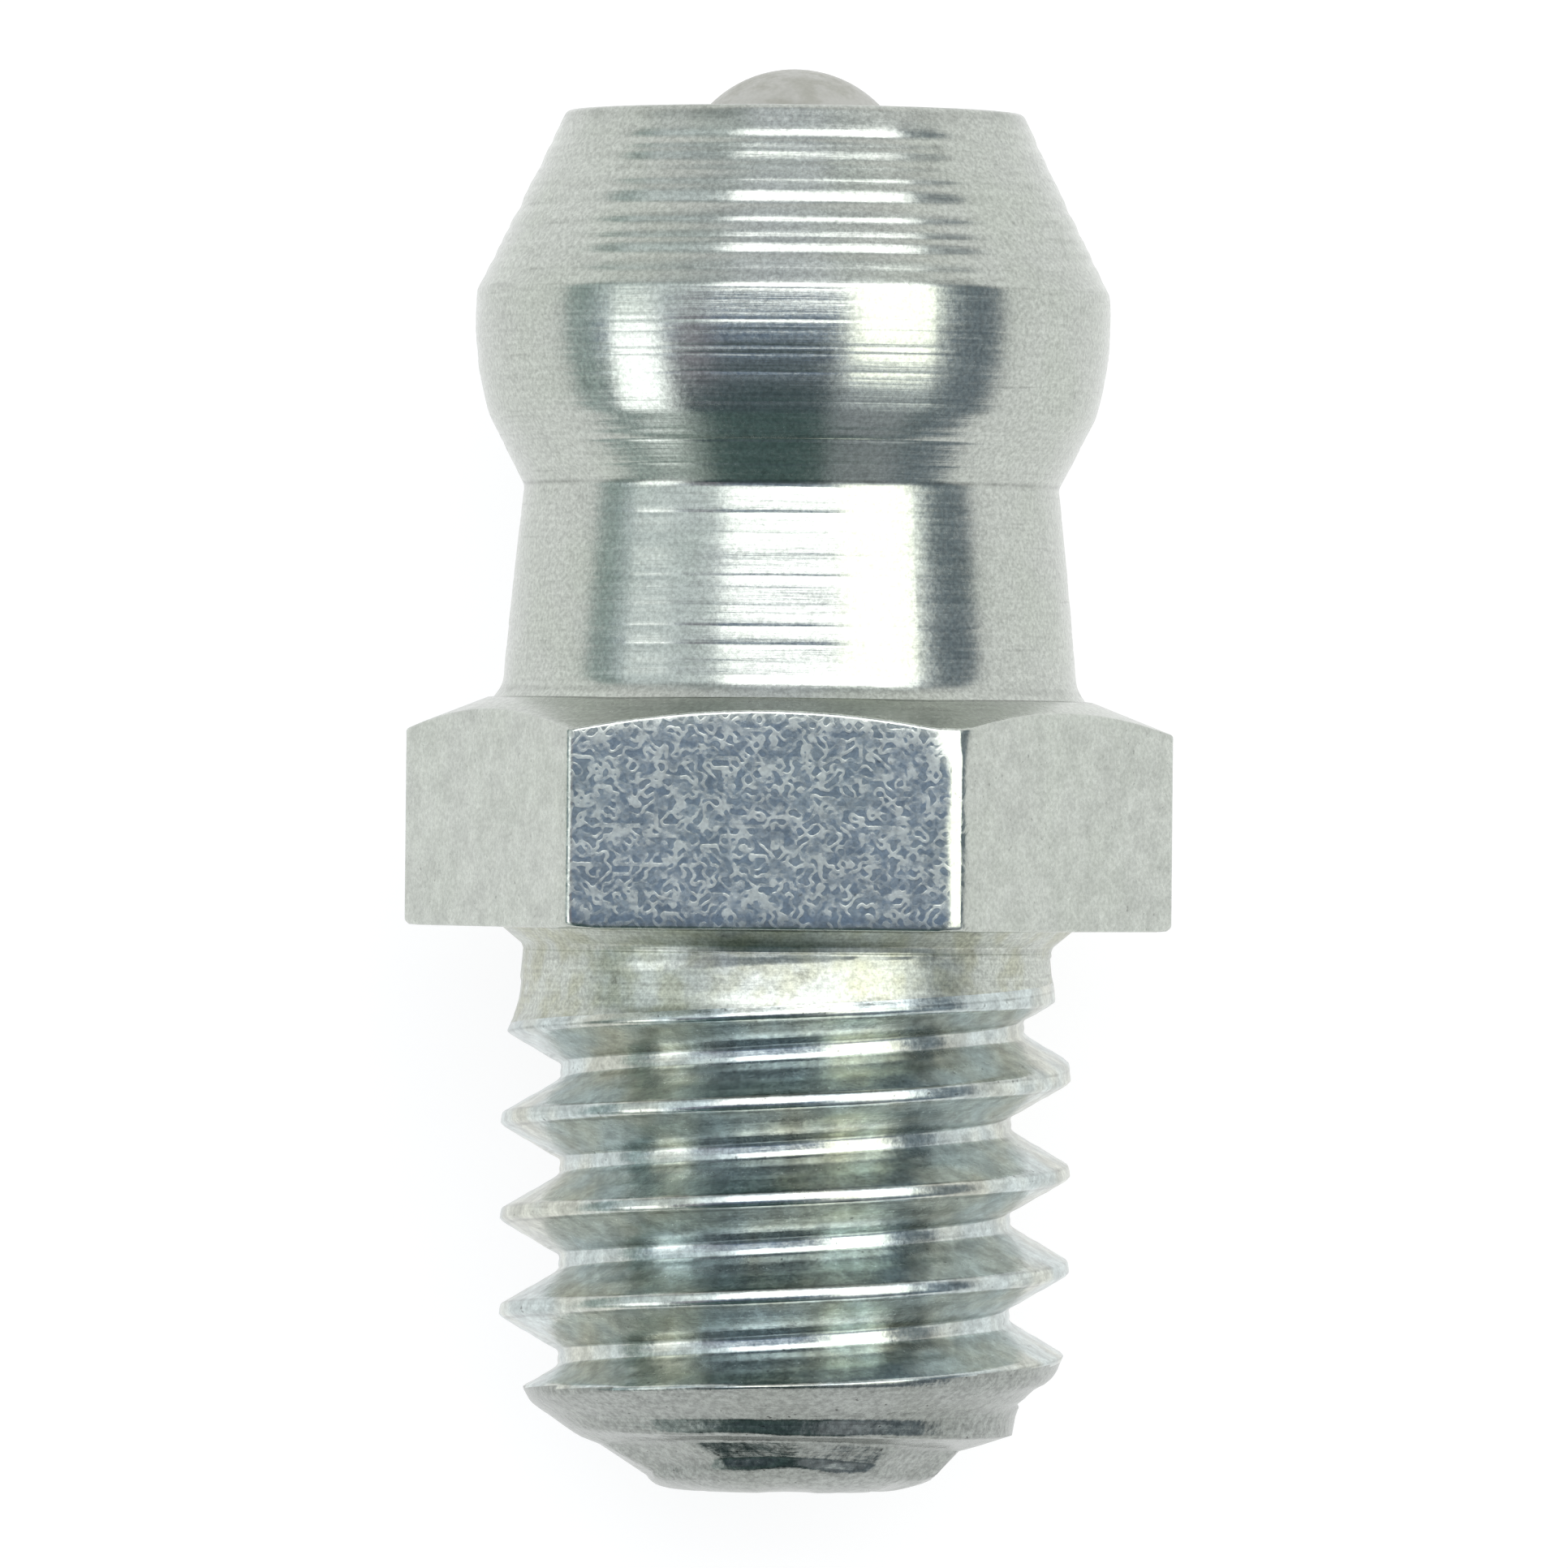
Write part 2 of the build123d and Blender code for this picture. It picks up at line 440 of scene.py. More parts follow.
    def paint(self, lay: Wiring, rings: Socket, dark: Socket, specks: Socket) -> Socket:
        """Colour of the plating.

        Args:
            lay: The material's wiring.
            rings: Height of the fine lines.
            dark: Where scores run, and where the shade lines paint shade.
            specks: Where the crystals of the plating are matt.

        Returns:
            The colour.
        """
        tint = lay.patchy(Patches(1 / self.tint_size, 0.38, 0.66), 0.0, self.tint_share)
        colour = lay.mix(tint, opaque(self.colour), opaque(self.tint))
        bright = tuple(min(1.0, 1.25 * part) for part in self.colour)
        colour = lay.mix(lay.product(specks, self.speck_light), colour, opaque(bright))
        mottled = Patches(1 / self.mottle_size, 0.28, 0.72, 3.0, 0.72)
        shade = lay.product(
            lay.patchy(mottled, 1 - self.mottle, 1 + 0.5 * self.mottle),
            lay.swung(rings, 1 - self.streaks, 1 + 0.8 * self.streaks),
            lay.patchy(self.grime_patches, 1.0, 1 - self.grime),
            lay.patchy(self.pit_patches, 1.0, 1 - self.pit_share),
            # Darkens the colour where scores run and where the shade lines paint shade.
            lay.maths("SUBTRACT", 1.0, lay.product(dark, self.score_shade)),
        )
        colour = lay.scaled(colour, shade)
        if not self.clouds:
            return colour
        clouded = Patches(1 / self.cloud_size, 0.33, 0.67, 3.0, 0.6)
        return lay.scaled(colour, lay.patchy(clouded, 1 - self.clouds, 1 + 1.1 * self.clouds))


class Zone(Enum):
    """Stretches of the body's skin, by the way that each was made."""

    TURNED = PlatedSteel(
        "zinc_turned", tint_share=0.25, ring_depth=0.0018, ring_break=0.8, streaks=0.06,
        brushing=0.3, mottle=0.26, grime=0.4,
        # Painted shade bands at the neck's foot, the neck's top, the crown's edge and the nose's end.
        shade_lines=((2.42, 0.06, 0.35), (4.57, 0.035, 0.6), (6.595, 0.02, 0.2), (8.40, 0.16, 0.3)),
    )
    MILLED = PlatedSteel(
        "zinc_milled", colour=(0.490, 0.515, 0.475), ring_depth=0.0, score_share=0.0,
        grain_size=0.10, grain_depth=0.0012, clouds=0.07, cloud_size=0.3, roughness=0.16,
        roughness_swing=0.06, speck_share=0.56, mottle=0.18, tint_share=0.2, pit_share=0.35,
        streaks=0.0,
    )
    ROLLED = PlatedSteel(
        "zinc_rolled", lead=1.0, ring_break=0.9, colour=(0.525, 0.586, 0.578),
        tint=(0.57, 0.555, 0.45), tint_share=0.60, grain_depth=0.0008, grime=0.45, mottle=0.18,
        streaks=0.06, wave_size=0.17, wave_depth=0.0034, clouds=0.17, cloud_size=0.20, pit_share=0.5,
        # Painted shade along the thread: two lines low on the flanks beside the root, two at the crest's
        # edges.
        shade_lines=((0.235, 0.030, 0.30), (0.440, 0.030, 0.30), (0.752, 0.022, 0.60),
                 (0.918, 0.022, 0.50)),
    )
    COVE = PlatedSteel(
        "zinc_cove", colour=(0.560, 0.590, 0.540), tint=(0.45, 0.46, 0.35), tint_share=0.7,
        tint_size=0.35, roughness=0.34, grain_depth=0.0014, wave_size=0.3, wave_depth=0.006,
        # Painted shade: a dark line near the shank's small groove, under the seating face.
        mottle=0.30, grime=0.6, streaks=0.12, shade_lines=((-0.27, 0.04, 0.25),),
    )
    PRESSED = PlatedSteel(
        "zinc_pressed", colour=(0.338, 0.358, 0.338), tint=(0.29, 0.31, 0.28), ring_depth=0.0014,
        grain_size=0.07, grain_depth=0.0026, wave_size=0.17, wave_depth=0.011, roughness=0.24,
        pit_share=0.7, grime=0.5, mottle=0.36, mottle_size=0.07,
    )
    BORED = PlatedSteel(
        # Darker colour than the outer plating: painted shade inside the bore.
        "zinc_bore_painted_shade", colour=(0.38, 0.39, 0.36), tint=(0.30, 0.31, 0.27), ring_width=0.05,
        ring_depth=0.003, roughness=0.34, brushing=0.3, grime=0.5,
    )

    @property
    def number(self) -> int:
        """Place of this zone's material among the body's material slots."""
        return list(Zone).index(self)


# ----------------------------------------------------------------------------- meshes


def path(start: Sequence[float], end: Sequence[float], steps: int) -> np.ndarray:
    """Points of a straight stretch of a half section, both ends included."""
    share = np.linspace(0.0, 1.0, steps + 1)[:, None]
    return np.asarray(start) * (1 - share) + np.asarray(end) * share


def bend(start: np.ndarray, corner: np.ndarray, end: np.ndarray, steps: int) -> list[np.ndarray]:
    """Quadratic curve from start to end that rounds off a corner, both ends included."""
    shares = np.linspace(0.0, 1.0, steps + 1)
    return [start * (1 - t) ** 2 + corner * 2 * t * (1 - t) + end * t**2 for t in shares]


def eased(stretches: Sequence[np.ndarray], reaches: Sequence[float], steps: int) -> np.ndarray:
    """Joins stretches of a half section end to end and rounds the corners between them.

    Args:
        stretches: Each an array of (radius, station) that starts where the last one ended.
        reaches: For each corner between two stretches, how far from it the rounding starts.
        steps: Steps of each rounding.

    Returns:
        One array of (radius, station).
    """
    whole = stretches[0]
    for following, reach in zip(stretches[1:], reaches):
        corner = following[0]
        before = corner + reach * unit(whole[-2] - corner)
        after = corner + reach * unit(following[1] - corner)
        cleared = 1.1 * reach
        kept, rest = (part[np.linalg.norm(part - corner, axis=1) > cleared]
                      for part in (whole, following))
        whole = np.vstack([kept, bend(before, corner, after, steps), rest])
    return whole


@dataclass(frozen=True)
class ToolMark:
    """One ring that a tool has left: its place along a trace, its half-width and its depth."""

    place: float
    width: float
    depth: float


def tool_marks(*rows: tuple[float, float, float]) -> tuple[ToolMark, ...]:
    """Several tool marks, each from its place, half-width and depth."""
    return tuple(ToolMark(*row) for row in rows)


@dataclass(frozen=True)
class Turning:
    """How a lathe turned one surface: the uneven rings of its feed, and its deeper marks.

    The length is that over which the tool fed, the feed is the mean distance between rings, the
    width and the depth are a ring's usual ones, and no two points lie farther apart than a step.
    """

    length: float
    feed: float
    width: float
    depth: float
    seed: int
    step: float
    marks: tuple[ToolMark, ...] = ()

    def feed_marks(self) -> list[ToolMark]:
        """Uneven rings that the tool leaves as it feeds along the surface.

        Returns:
            The marks, from one end to the other.
        """
        spacings, widths, depths = (0.35, 1.65), (0.6, 1.5), (0.1, 1.0)
        spare = 1.5  # rings drawn for each that the mean feed asks for
        shallowing = 1.5  # power that keeps most rings shallow
        draw = np.random.default_rng(self.seed)
        count = int(spare * self.length / self.feed)
        places = np.cumsum(self.feed * draw.uniform(*spacings, count))
        return [
            ToolMark(place, self.width * draw.uniform(*widths),
                     self.depth * draw.uniform(*depths) ** shallowing)
            for place in places[places < self.length]
        ]

    def cut(self, trace: np.ndarray) -> np.ndarray:
        """Presses the tool's marks into a trace, inwards and square to it.

        Args:
            trace: Array of (radius, station); the marks' places are measured from its start.

        Returns:
            The trace with the rings in it, its points closer together in a mark.
        """
        end_room, least_step, fade_length = 0.015, 0.006, 0.03
        across_mark = (-1.5, -0.7, 0.0, 0.7, 1.5)
        marks = [*self.feed_marks(), *self.marks]
        known = np.append(0.0, np.cumsum(np.linalg.norm(np.diff(trace, axis=0), axis=1)))
        whole = known[-1]
        plain = np.linspace(0.0, whole, math.ceil(whole / self.step) + 1)
        close = np.array([mark.place + mark.width * share for mark in marks for share in across_mark])
        wanted = close[(close > end_room) & (close < whole - end_room)]
        along = np.unique(np.concatenate([plain, wanted]))
        clear = np.append(True, np.diff(along) > least_step)
        clear[-2:] = (clear[-2] and whole - along[-2] > least_step, True)
        along = along[clear]
        line = np.stack([np.interp(along, known, trace[:, axis]) for axis in (0, 1)], axis=1)
        ahead = np.gradient(line, along, axis=0)
        inward = unit(np.stack([-ahead[:, 1], ahead[:, 0]], axis=1))
        depth = sum(m.depth * np.exp(-(((along - m.place) / m.width) ** 2)) for m in marks)
        fade = np.clip(np.minimum(along, whole - along) / fade_length, 0.0, 1.0)
        return line + inward * (depth * fade)[:, None]


class Skin:
    """A closed skin round the axis, grown ring by ring from a fixed set of columns."""

    def __init__(self, bearings: np.ndarray) -> None:
        """Starts with no rings.

        Args:
            bearings: Bearings of the columns.
        """
        self.bearings = bearings
        self.points: list[np.ndarray] = []
        self.count = 0
        self.faces: list[tuple[int, ...]] = []
        self.zones: list[int] = []
        self.first: np.ndarray | None = None
        self.last: np.ndarray | None = None

    def place(self, bearings: np.ndarray, radii: np.ndarray | float,
              stations: np.ndarray | float) -> np.ndarray:
        """Adds points.

        Args:
            bearings: Bearing of each point.
            radii: Distance of each from the axis, or of all.
            stations: Station of each, or of all.

        Returns:
            The numbers of the new points.
        """
        bearings, radii, stations = np.broadcast_arrays(bearings, radii, stations)
        self.points.append(np.stack([radii * sine(bearings), stations, radii * cosine(bearings)], axis=1))
        numbers = np.arange(self.count, self.count + len(bearings))
        self.count += len(bearings)
        return numbers

    def face(self, corners: Sequence[int], zone: Zone) -> None:
        """Adds a face, unless fewer than three corners are left when each is used once.

        Args:
            corners: Numbers of its points, in order.
            zone: Its finish.
        """
        distinct = tuple(dict.fromkeys(int(c) for c in corners))
        if len(distinct) > 2:
            self.faces.append(distinct)
            self.zones.append(zone.number)

    def join(self, lower: np.ndarray, upper: np.ndarray, zone: Zone) -> None:
        """Spans two rings with a band of faces."""
        for corners in zip(lower, np.roll(lower, -1), np.roll(upper, -1), upper):
            self.face(corners, zone)

    def ring(self, ring: Ring | Point, zone: Zone) -> None:
        """Adds a ring and joins it to the last one.

        Args:
            ring: One (radius, station) for all columns, or one for each.
            zone: Finish of the band up to it.
        """
        ring = np.broadcast_to(ring, (len(self.bearings), 2))
        numbers = self.place(self.bearings, ring[:, 0], ring[:, 1])
        if self.last is None:
            self.first = numbers
        else:
            self.join(self.last, numbers, zone)
        self.last = numbers

    def rings(self, rings: Sequence[Ring | Point], zone: Zone) -> None:
        """Adds several rings."""
        for ring in rings:
            self.ring(ring, zone)

    def close(self, zone: Zone) -> None:
        """Joins the last ring to the first one."""
        self.join(self.last, self.first, zone)

    def finish(self, name: str, materials: Sequence[bpy.types.Material]) -> bpy.types.Object:
        """Makes the object.

        Args:
            name: Its name.
            materials: Its materials, one for each zone in order.

        Returns:
            The object, in metres.
        """
        made = placed(name, np.vstack(self.points) * MM, self.faces, materials)
        made.data.polygons.foreach_set("material_index", self.zones)
        made.data.update()
        return made


def placed(name: str, points: np.ndarray | Sequence[Sequence[float]], faces: Sequence[Sequence[int]],
           materials: Sequence[bpy.types.Material], smooth: bool = True) -> bpy.types.Object:
    """Makes a mesh and puts it into the scene as an object at the origin.

    Args:
        name: Name of both.
        points: Its points, in metres.
        faces: Its faces, each as the numbers of its points.
        materials: Its materials.
        smooth: Whether its faces are shaded smooth.

    Returns:
        The object.
    """
    mesh = bpy.data.meshes.new(name)
    mesh.from_pydata(np.asarray(points).tolist(), [], faces)
    for material in materials:
        mesh.materials.append(material)
    if smooth:
        mesh.shade_smooth()
    mesh.update()
    made = bpy.data.objects.new(name, mesh)
    bpy.context.scene.collection.objects.link(made)
    return made


# ----------------------------------------------------------------------------- body


@dataclass
class Hexagon:
    """The six flats that a spanner grips. The right edge of the upper one is worn to a land.

    The land's waves are (degrees for each mm, phase, share).
    """

    across_flats: float = 7.0
    seat_station: float = -0.060
    corner_station: float = 1.985
    corner_fillet: float = 0.13
    top_angle: float = 21.5
    deburr_radius: float = 3.955
    deburr_angle: float = 30.0
    bottom_ease: float = 0.035
    top_ease: float = 0.032
    land_bearing: float = 25.0
    land_start: float = 1.905
    land_wear: float = 0.028
    land_waves: tuple[tuple[float, float, float], ...] = ((250, 40, 1.0), (610, 0, 0.6), (1390, 0, 0.4))
    land_round: float = 0.20
    land_round_depth: float = 0.13
    land_reach: float = 15.0
    land_ease: float = 0.004
    land_columns: tuple[float, ...] = (25.4, 26.4, 27.4)
    column_room: float = 0.25
    flat_steps: int = 21
    corner_steps: int = 5
    side_steps: int = 15

    def bearings(self) -> np.ndarray:
        """Bearings of a skin's columns: even over the flats, and close together elsewhere.

        Returns:
            The bearings, from the lowest to the highest.
        """
        half = self.across_flats / 2
        edge = math.degrees(math.atan((half - self.corner_fillet) * slope(30) / half))
        flat = np.linspace(-edge, edge, self.flat_steps + 1)
        corner = np.linspace(edge, 60 - edge, self.corner_steps + 1)[1:-1]
        even = np.concatenate([60 * side + np.concatenate([flat, corner]) for side in range(6)])
        land = np.array(self.land_columns)
        nearest = np.min(np.abs(even[:, None] - land), axis=0)
        return np.sort(np.concatenate([even, land[nearest > self.column_room]]))

    def radius(self, bearings: np.ndarray, station: float = 0.0) -> np.ndarray:
        """Distance of the outline from the axis at each bearing, with its rounded corners.

        Args:
            bearings: Bearings of the columns.
            station: Station of the outline; the land's width changes along it.

        Returns:
            The radii.
        """
        half, fillet = self.across_flats / 2, self.corner_fillet
        off_flat = np.abs((bearings + 30) % 60 - 30)
        off_corner = 30 - off_flat
        centre = (half - fillet) / cosine(30)
        inside = np.maximum(fillet**2 - (centre * sine(off_corner)) ** 2, 0.0)
        on_corner = centre * cosine(off_corner) + np.sqrt(inside)
        rounded = np.radians(off_corner) * centre < fillet * 0.5
        outline = np.where(rounded, on_corner, half / cosine(off_flat))
        wear = sum(share * sine(rate * station + phase) for rate, phase, share in self.land_waves)
        near_top = max(0.0, station - self.corner_station + self.land_round) / self.land_round
        start = self.land_start + self.land_wear / 2 * wear - self.land_round_depth * near_top**2
        land = start * sine(self.land_bearing) + half * cosine(self.land_bearing)
        return pressed(outline, bearings, self.land_bearing, land, self.land_reach, self.land_ease)

    def seating(self, radius: np.ndarray) -> Ring:
        """Ring in the seating face, with the corners' deburring."""
        rise = np.maximum(radius - self.deburr_radius, 0.0) * slope(self.deburr_angle)
        return np.stack([radius, self.seat_station + rise], axis=1)

    def chamfer(self, radius: np.ndarray) -> Ring:
        """Ring in the top chamfer, which leaves each sharp corner at the corner station."""
        rise = (self.across_flats / 2 / cosine(30) - radius) * slope(self.top_angle)
        return np.stack([radius, self.corner_station + rise], axis=1)

    def stretches(self, bearings: np.ndarray, seat_radius: float,
                  neck_radius: float) -> list[tuple[list[Ring], Zone]]:
        """Rings from the seating face, over the flats, to the neck.

        Args:
            bearings: Bearings of the columns.
            seat_radius: Radius where the seating face starts.
            neck_radius: Radius where the top chamfer ends.

        Returns:
            Stretches of rings in order, each with its finish.
        """
        low_outline, high_outline = self.radius(bearings), self.radius(bearings, self.corner_station)
        low, high = self.bottom_ease, self.top_ease
        inner = low_outline - low - seat_radius
        seat = [self.seating(seat_radius + inner * share) for share in (0, 0.08, 0.3, 0.6, 0.85)]
        bottom, top = self.seating(low_outline), self.chamfer(high_outline)
        below = bend(self.seating(low_outline - low), bottom, bottom + (0, low), 3)
        rest = high_outline - high * cosine(self.top_angle)
        above = bend(top - (0, high), top, self.chamfer(rest), 5)
        sides = []
        for share in np.linspace(0, 1, self.side_steps + 1)[1:-1]:
            stations = below[-1][:, 1] * (1 - share) + above[0][:, 1] * share
            sides.append(np.stack([self.radius(bearings, float(np.median(stations))), stations], axis=1))
        outer = neck_radius - rest
        crown = [self.chamfer(rest + outer * share) for share in (0.1, 0.3, 0.5, 0.7, 0.85, 0.95)]
        return [
            ([*seat, below[0]], Zone.TURNED),
            ([*below[1:], *sides, *above], Zone.MILLED),
            (crown, Zone.TURNED),
        ]


@dataclass(frozen=True)
class Uneven:
    """A size that differs round the axis: on the -X side, above and below, and on the +X side."""

    left: float
    middle: float
    right: float

    def at(self, bearings: np.ndarray) -> np.ndarray:
        """The size at each bearing."""
        left, right = (np.maximum(side * sine(bearings), 0.0) ** 2 for side in (-1, 1))
        return self.middle + left * (self.left - self.middle) + right * (self.right - self.middle)


@dataclass
class RolledThread:
    """The thread on the stub, with its end chamfer below and its run-out above.

    The ripples that the rolls left along the flanks are (height, length, phase).
    """

    major_radius: float = 2.985
    pitch: float = 1.0
    flank_angle: float = 30.0
    root_half: float = 1 / 12
    crest_half: float = 1 / 16
    runout_station: float = -1.265
    runout_bearing: float = 30.0
    runout_angle: float = 35.0
    band_radius: Uneven = Uneven(2.470, 2.400, 2.432)
    band_slope: Uneven = Uneven(1.539, 0.3125, 0.312)
    cone_radius: Uneven = Uneven(2.470, 2.360, 2.345)
    cone_slope: Uneven = Uneven(1.539, 1.600, 1.380)
    worn_radius: Uneven = Uneven(2.840, 3.020, 2.840)
    worn_station: float = -4.697
    worn_slope: float = 0.55
    close_station: float = -4.86
    close_slope: float = 0.65
    low_station: float = -5.15
    pressed_below: float = -4.60
    edge_height: float = 0.06
    cove_above: float = -0.64
    high_station: float = -0.33
    shank_radius: float = 2.765
    shank_flare: float = 0.10
    taper_top: float = -0.60
    taper_bottom: float = -1.35
    taper_radius: float = 2.745
    crest_lean: float = 0.13
    root_lean: float = 0.15
    ripples: tuple[tuple[float, float, float], ...] = ((0.0045, 0.155, 20.0), (0.003, 0.083, 130.0))
    crest_ease: float = 0.05
    root_ease: float = 0.05
    taper_ease: float = 0.02
    major_ease: float = 0.03
    cone_ease: float = 0.03
    worn_ease: float = 0.04
    end_ease: float = 0.05
    end_room: float = 0.009

    @property
    def shank_top(self) -> float:
        """Radius of the shank at the thread's high end."""
        return float(self.blank(np.zeros(1), np.full(1, self.high_station))[0])

    @property
    def root_radius(self) -> float:
        """Distance of the groove's floor from the axis."""
        flank = 0.5 * self.pitch - (self.root_half + self.crest_half) * self.pitch
        return self.major_radius - flank / slope(self.flank_angle)

    def blank(self, bearings: np.ndarray, stations: np.ndarray) -> np.ndarray:
        """Radius of the stub before the thread was rolled.

        Args:
            bearings: Bearings of the points.
            stations: Their stations.

        Returns:
            The radii.
        """
        above = stations - self.low_station
        band = self.band_radius.at(bearings) + above * self.band_slope.at(bearings)
        cone = self.cone_radius.at(bearings) + above * self.cone_slope.at(bearings)
        worn = self.worn_radius.at(bearings) + (stations - self.worn_station) * self.worn_slope
        taper_slope = (self.major_radius - self.taper_radius) / (self.taper_top - self.taper_bottom)
        taper = self.taper_radius + (self.taper_top - stations) * taper_slope
        shank = self.shank_radius + (self.high_station - stations) * self.shank_flare
        outer = lesser(greater(taper, shank, self.taper_ease), self.major_radius, self.major_ease)
        closed = lesser(worn, greater(band, cone, self.cone_ease), self.worn_ease)
        return lesser(outer, closed, self.end_ease)

    def offsets(self) -> np.ndarray:
        """Places across one pitch, from crest to crest, at which the rows of the mesh run.

        Returns:
            Distances along the axis from the middle of the groove.
        """
        root, crest = self.root_half, 0.5 - self.crest_half
        flank = (0.14, 0.17, 0.20, 0.23, 0.26, 0.29, 0.32, 0.36)
        side = [root - 0.035, root, root + 0.025, *flank, crest - 0.04, crest - 0.015, crest, crest + 0.03]
        return np.array([-0.5, *(-share for share in side[::-1]), 0.0, *side]) * self.pitch

    def groove(self, stations: np.ndarray, off_groove: float) -> np.ndarray:
        """Radius of the rolled groove, beyond the blank where it has climbed out.

        Args:
            stations: Stations of the points.
            off_groove: Their distance along the axis from the middle of the groove.

        Returns:
            The radii.
        """
        root_half = self.root_half * self.pitch
        climbed = np.maximum(stations - off_groove - self.runout_station, 0.0) * slope(self.runout_angle)
        closed = np.maximum(self.close_station - stations, 0.0) * self.close_slope
        flank = greater((abs(off_groove) - root_half) / slope(self.flank_angle), 0.0, self.root_ease)
        rolled = sum(height * sine(360 * off_groove / length + phase)
                     for height, length, phase in self.ripples)
        tipped = self.root_lean * np.clip(off_groove, -root_half, root_half)
        floor = self.root_radius - self.root_ease / 4
        return floor + climbed + closed + flank + rolled - tipped

    def crest(self, bearings: np.ndarray, stations: np.ndarray, off_groove: float) -> np.ndarray:
        """Radius of the crests and of the bare ends, where no groove cuts them.

        Args:
            bearings: Bearings of the points.
            stations: Their stations.
            off_groove: Their distance along the axis from the middle of the groove.

        Returns:
            The radii.
        """
        past_crest = (off_groove % self.pitch) - (0.5 - self.crest_half) * self.pitch
        lean = self.crest_lean * np.clip(past_crest, 0.0, 2 * self.crest_half * self.pitch)
        return self.blank(bearings, stations) - lean

    def grow(self, skin: Skin, zone: Zone) -> None:
        """Lays rows along the helix between the skin's last ring and a new one at the shank.

        Args:
            skin: The body's skin, whose last ring lies at the thread's low end.
            zone: Finish of the thread.
        """
        bearings, low = skin.bearings, skin.last
        high = skin.place(bearings, self.shank_top, self.high_station)
        start = bearings[0]
        turn = (bearings - start) / 360
        phase = self.runout_station + (start - self.runout_bearing) / 360 * self.pitch
        offsets = self.offsets()
        first = math.floor((self.low_station - phase) / self.pitch) - 1
        last = math.ceil((self.high_station - phase) / self.pitch) + 1
        rows, finishes = [], []
        for number in range(first, last + 1):
            middle = phase + (number + turn) * self.pitch
            for offset in offsets:
                stations = middle + offset
                groove, crest = self.groove(stations, offset), self.crest(bearings, stations, offset)
                rows.append(self.row(skin, stations, lesser(groove, crest, self.crest_ease), low, high))
                bare = (groove > crest + self.edge_height) | (middle < self.close_station)
                ends = bare & (stations < self.pressed_below)
                shanks = (stations > self.cove_above) | (middle > self.runout_station + 0.5 * self.pitch)
                finishes.append([Zone.PRESSED if end else Zone.COVE if shank else zone
                                 for end, shank in zip(ends, shanks)])
        across = len(offsets)
        nearby = zip(rows, rows[1:], rows[across:], rows[across + 1:], finishes)
        for lower, upper, lower_next, upper_next, row_finishes in nearby:
            beside_lower = np.append(lower[1:], lower_next[0])
            beside_upper = np.append(upper[1:], upper_next[0])
            for *corners, finish in zip(lower, beside_lower, beside_upper, upper, row_finishes):
                skin.face(corners, finish)
        skin.last = high

    def row(self, skin: Skin, stations: np.ndarray, radii: np.ndarray,
            low: np.ndarray, high: np.ndarray) -> np.ndarray:
        """Lays one row of points. Those past an end of the thread are that end ring's own.

        Args:
            skin: The body's skin.
            stations: Station of the row at each column.
            radii: Radius of the row there.
            low: Points of the ring at the low end.
            high: Points of the ring at the high end.

        Returns:
            The numbers of the row's points.
        """
        from_low = stations >= self.low_station + self.end_room
        free = from_low & (stations <= self.high_station - self.end_room)
        numbers = np.where(from_low, high, low)
        numbers[free] = skin.place(skin.bearings[free], radii[free], stations[free])
        return numbers


@dataclass(frozen=True)
class RimCorners:
    """Corners of the rim's half section at one place round it."""

    foot: Point
    shoulder: Point
    ledge: Point
    band: Point


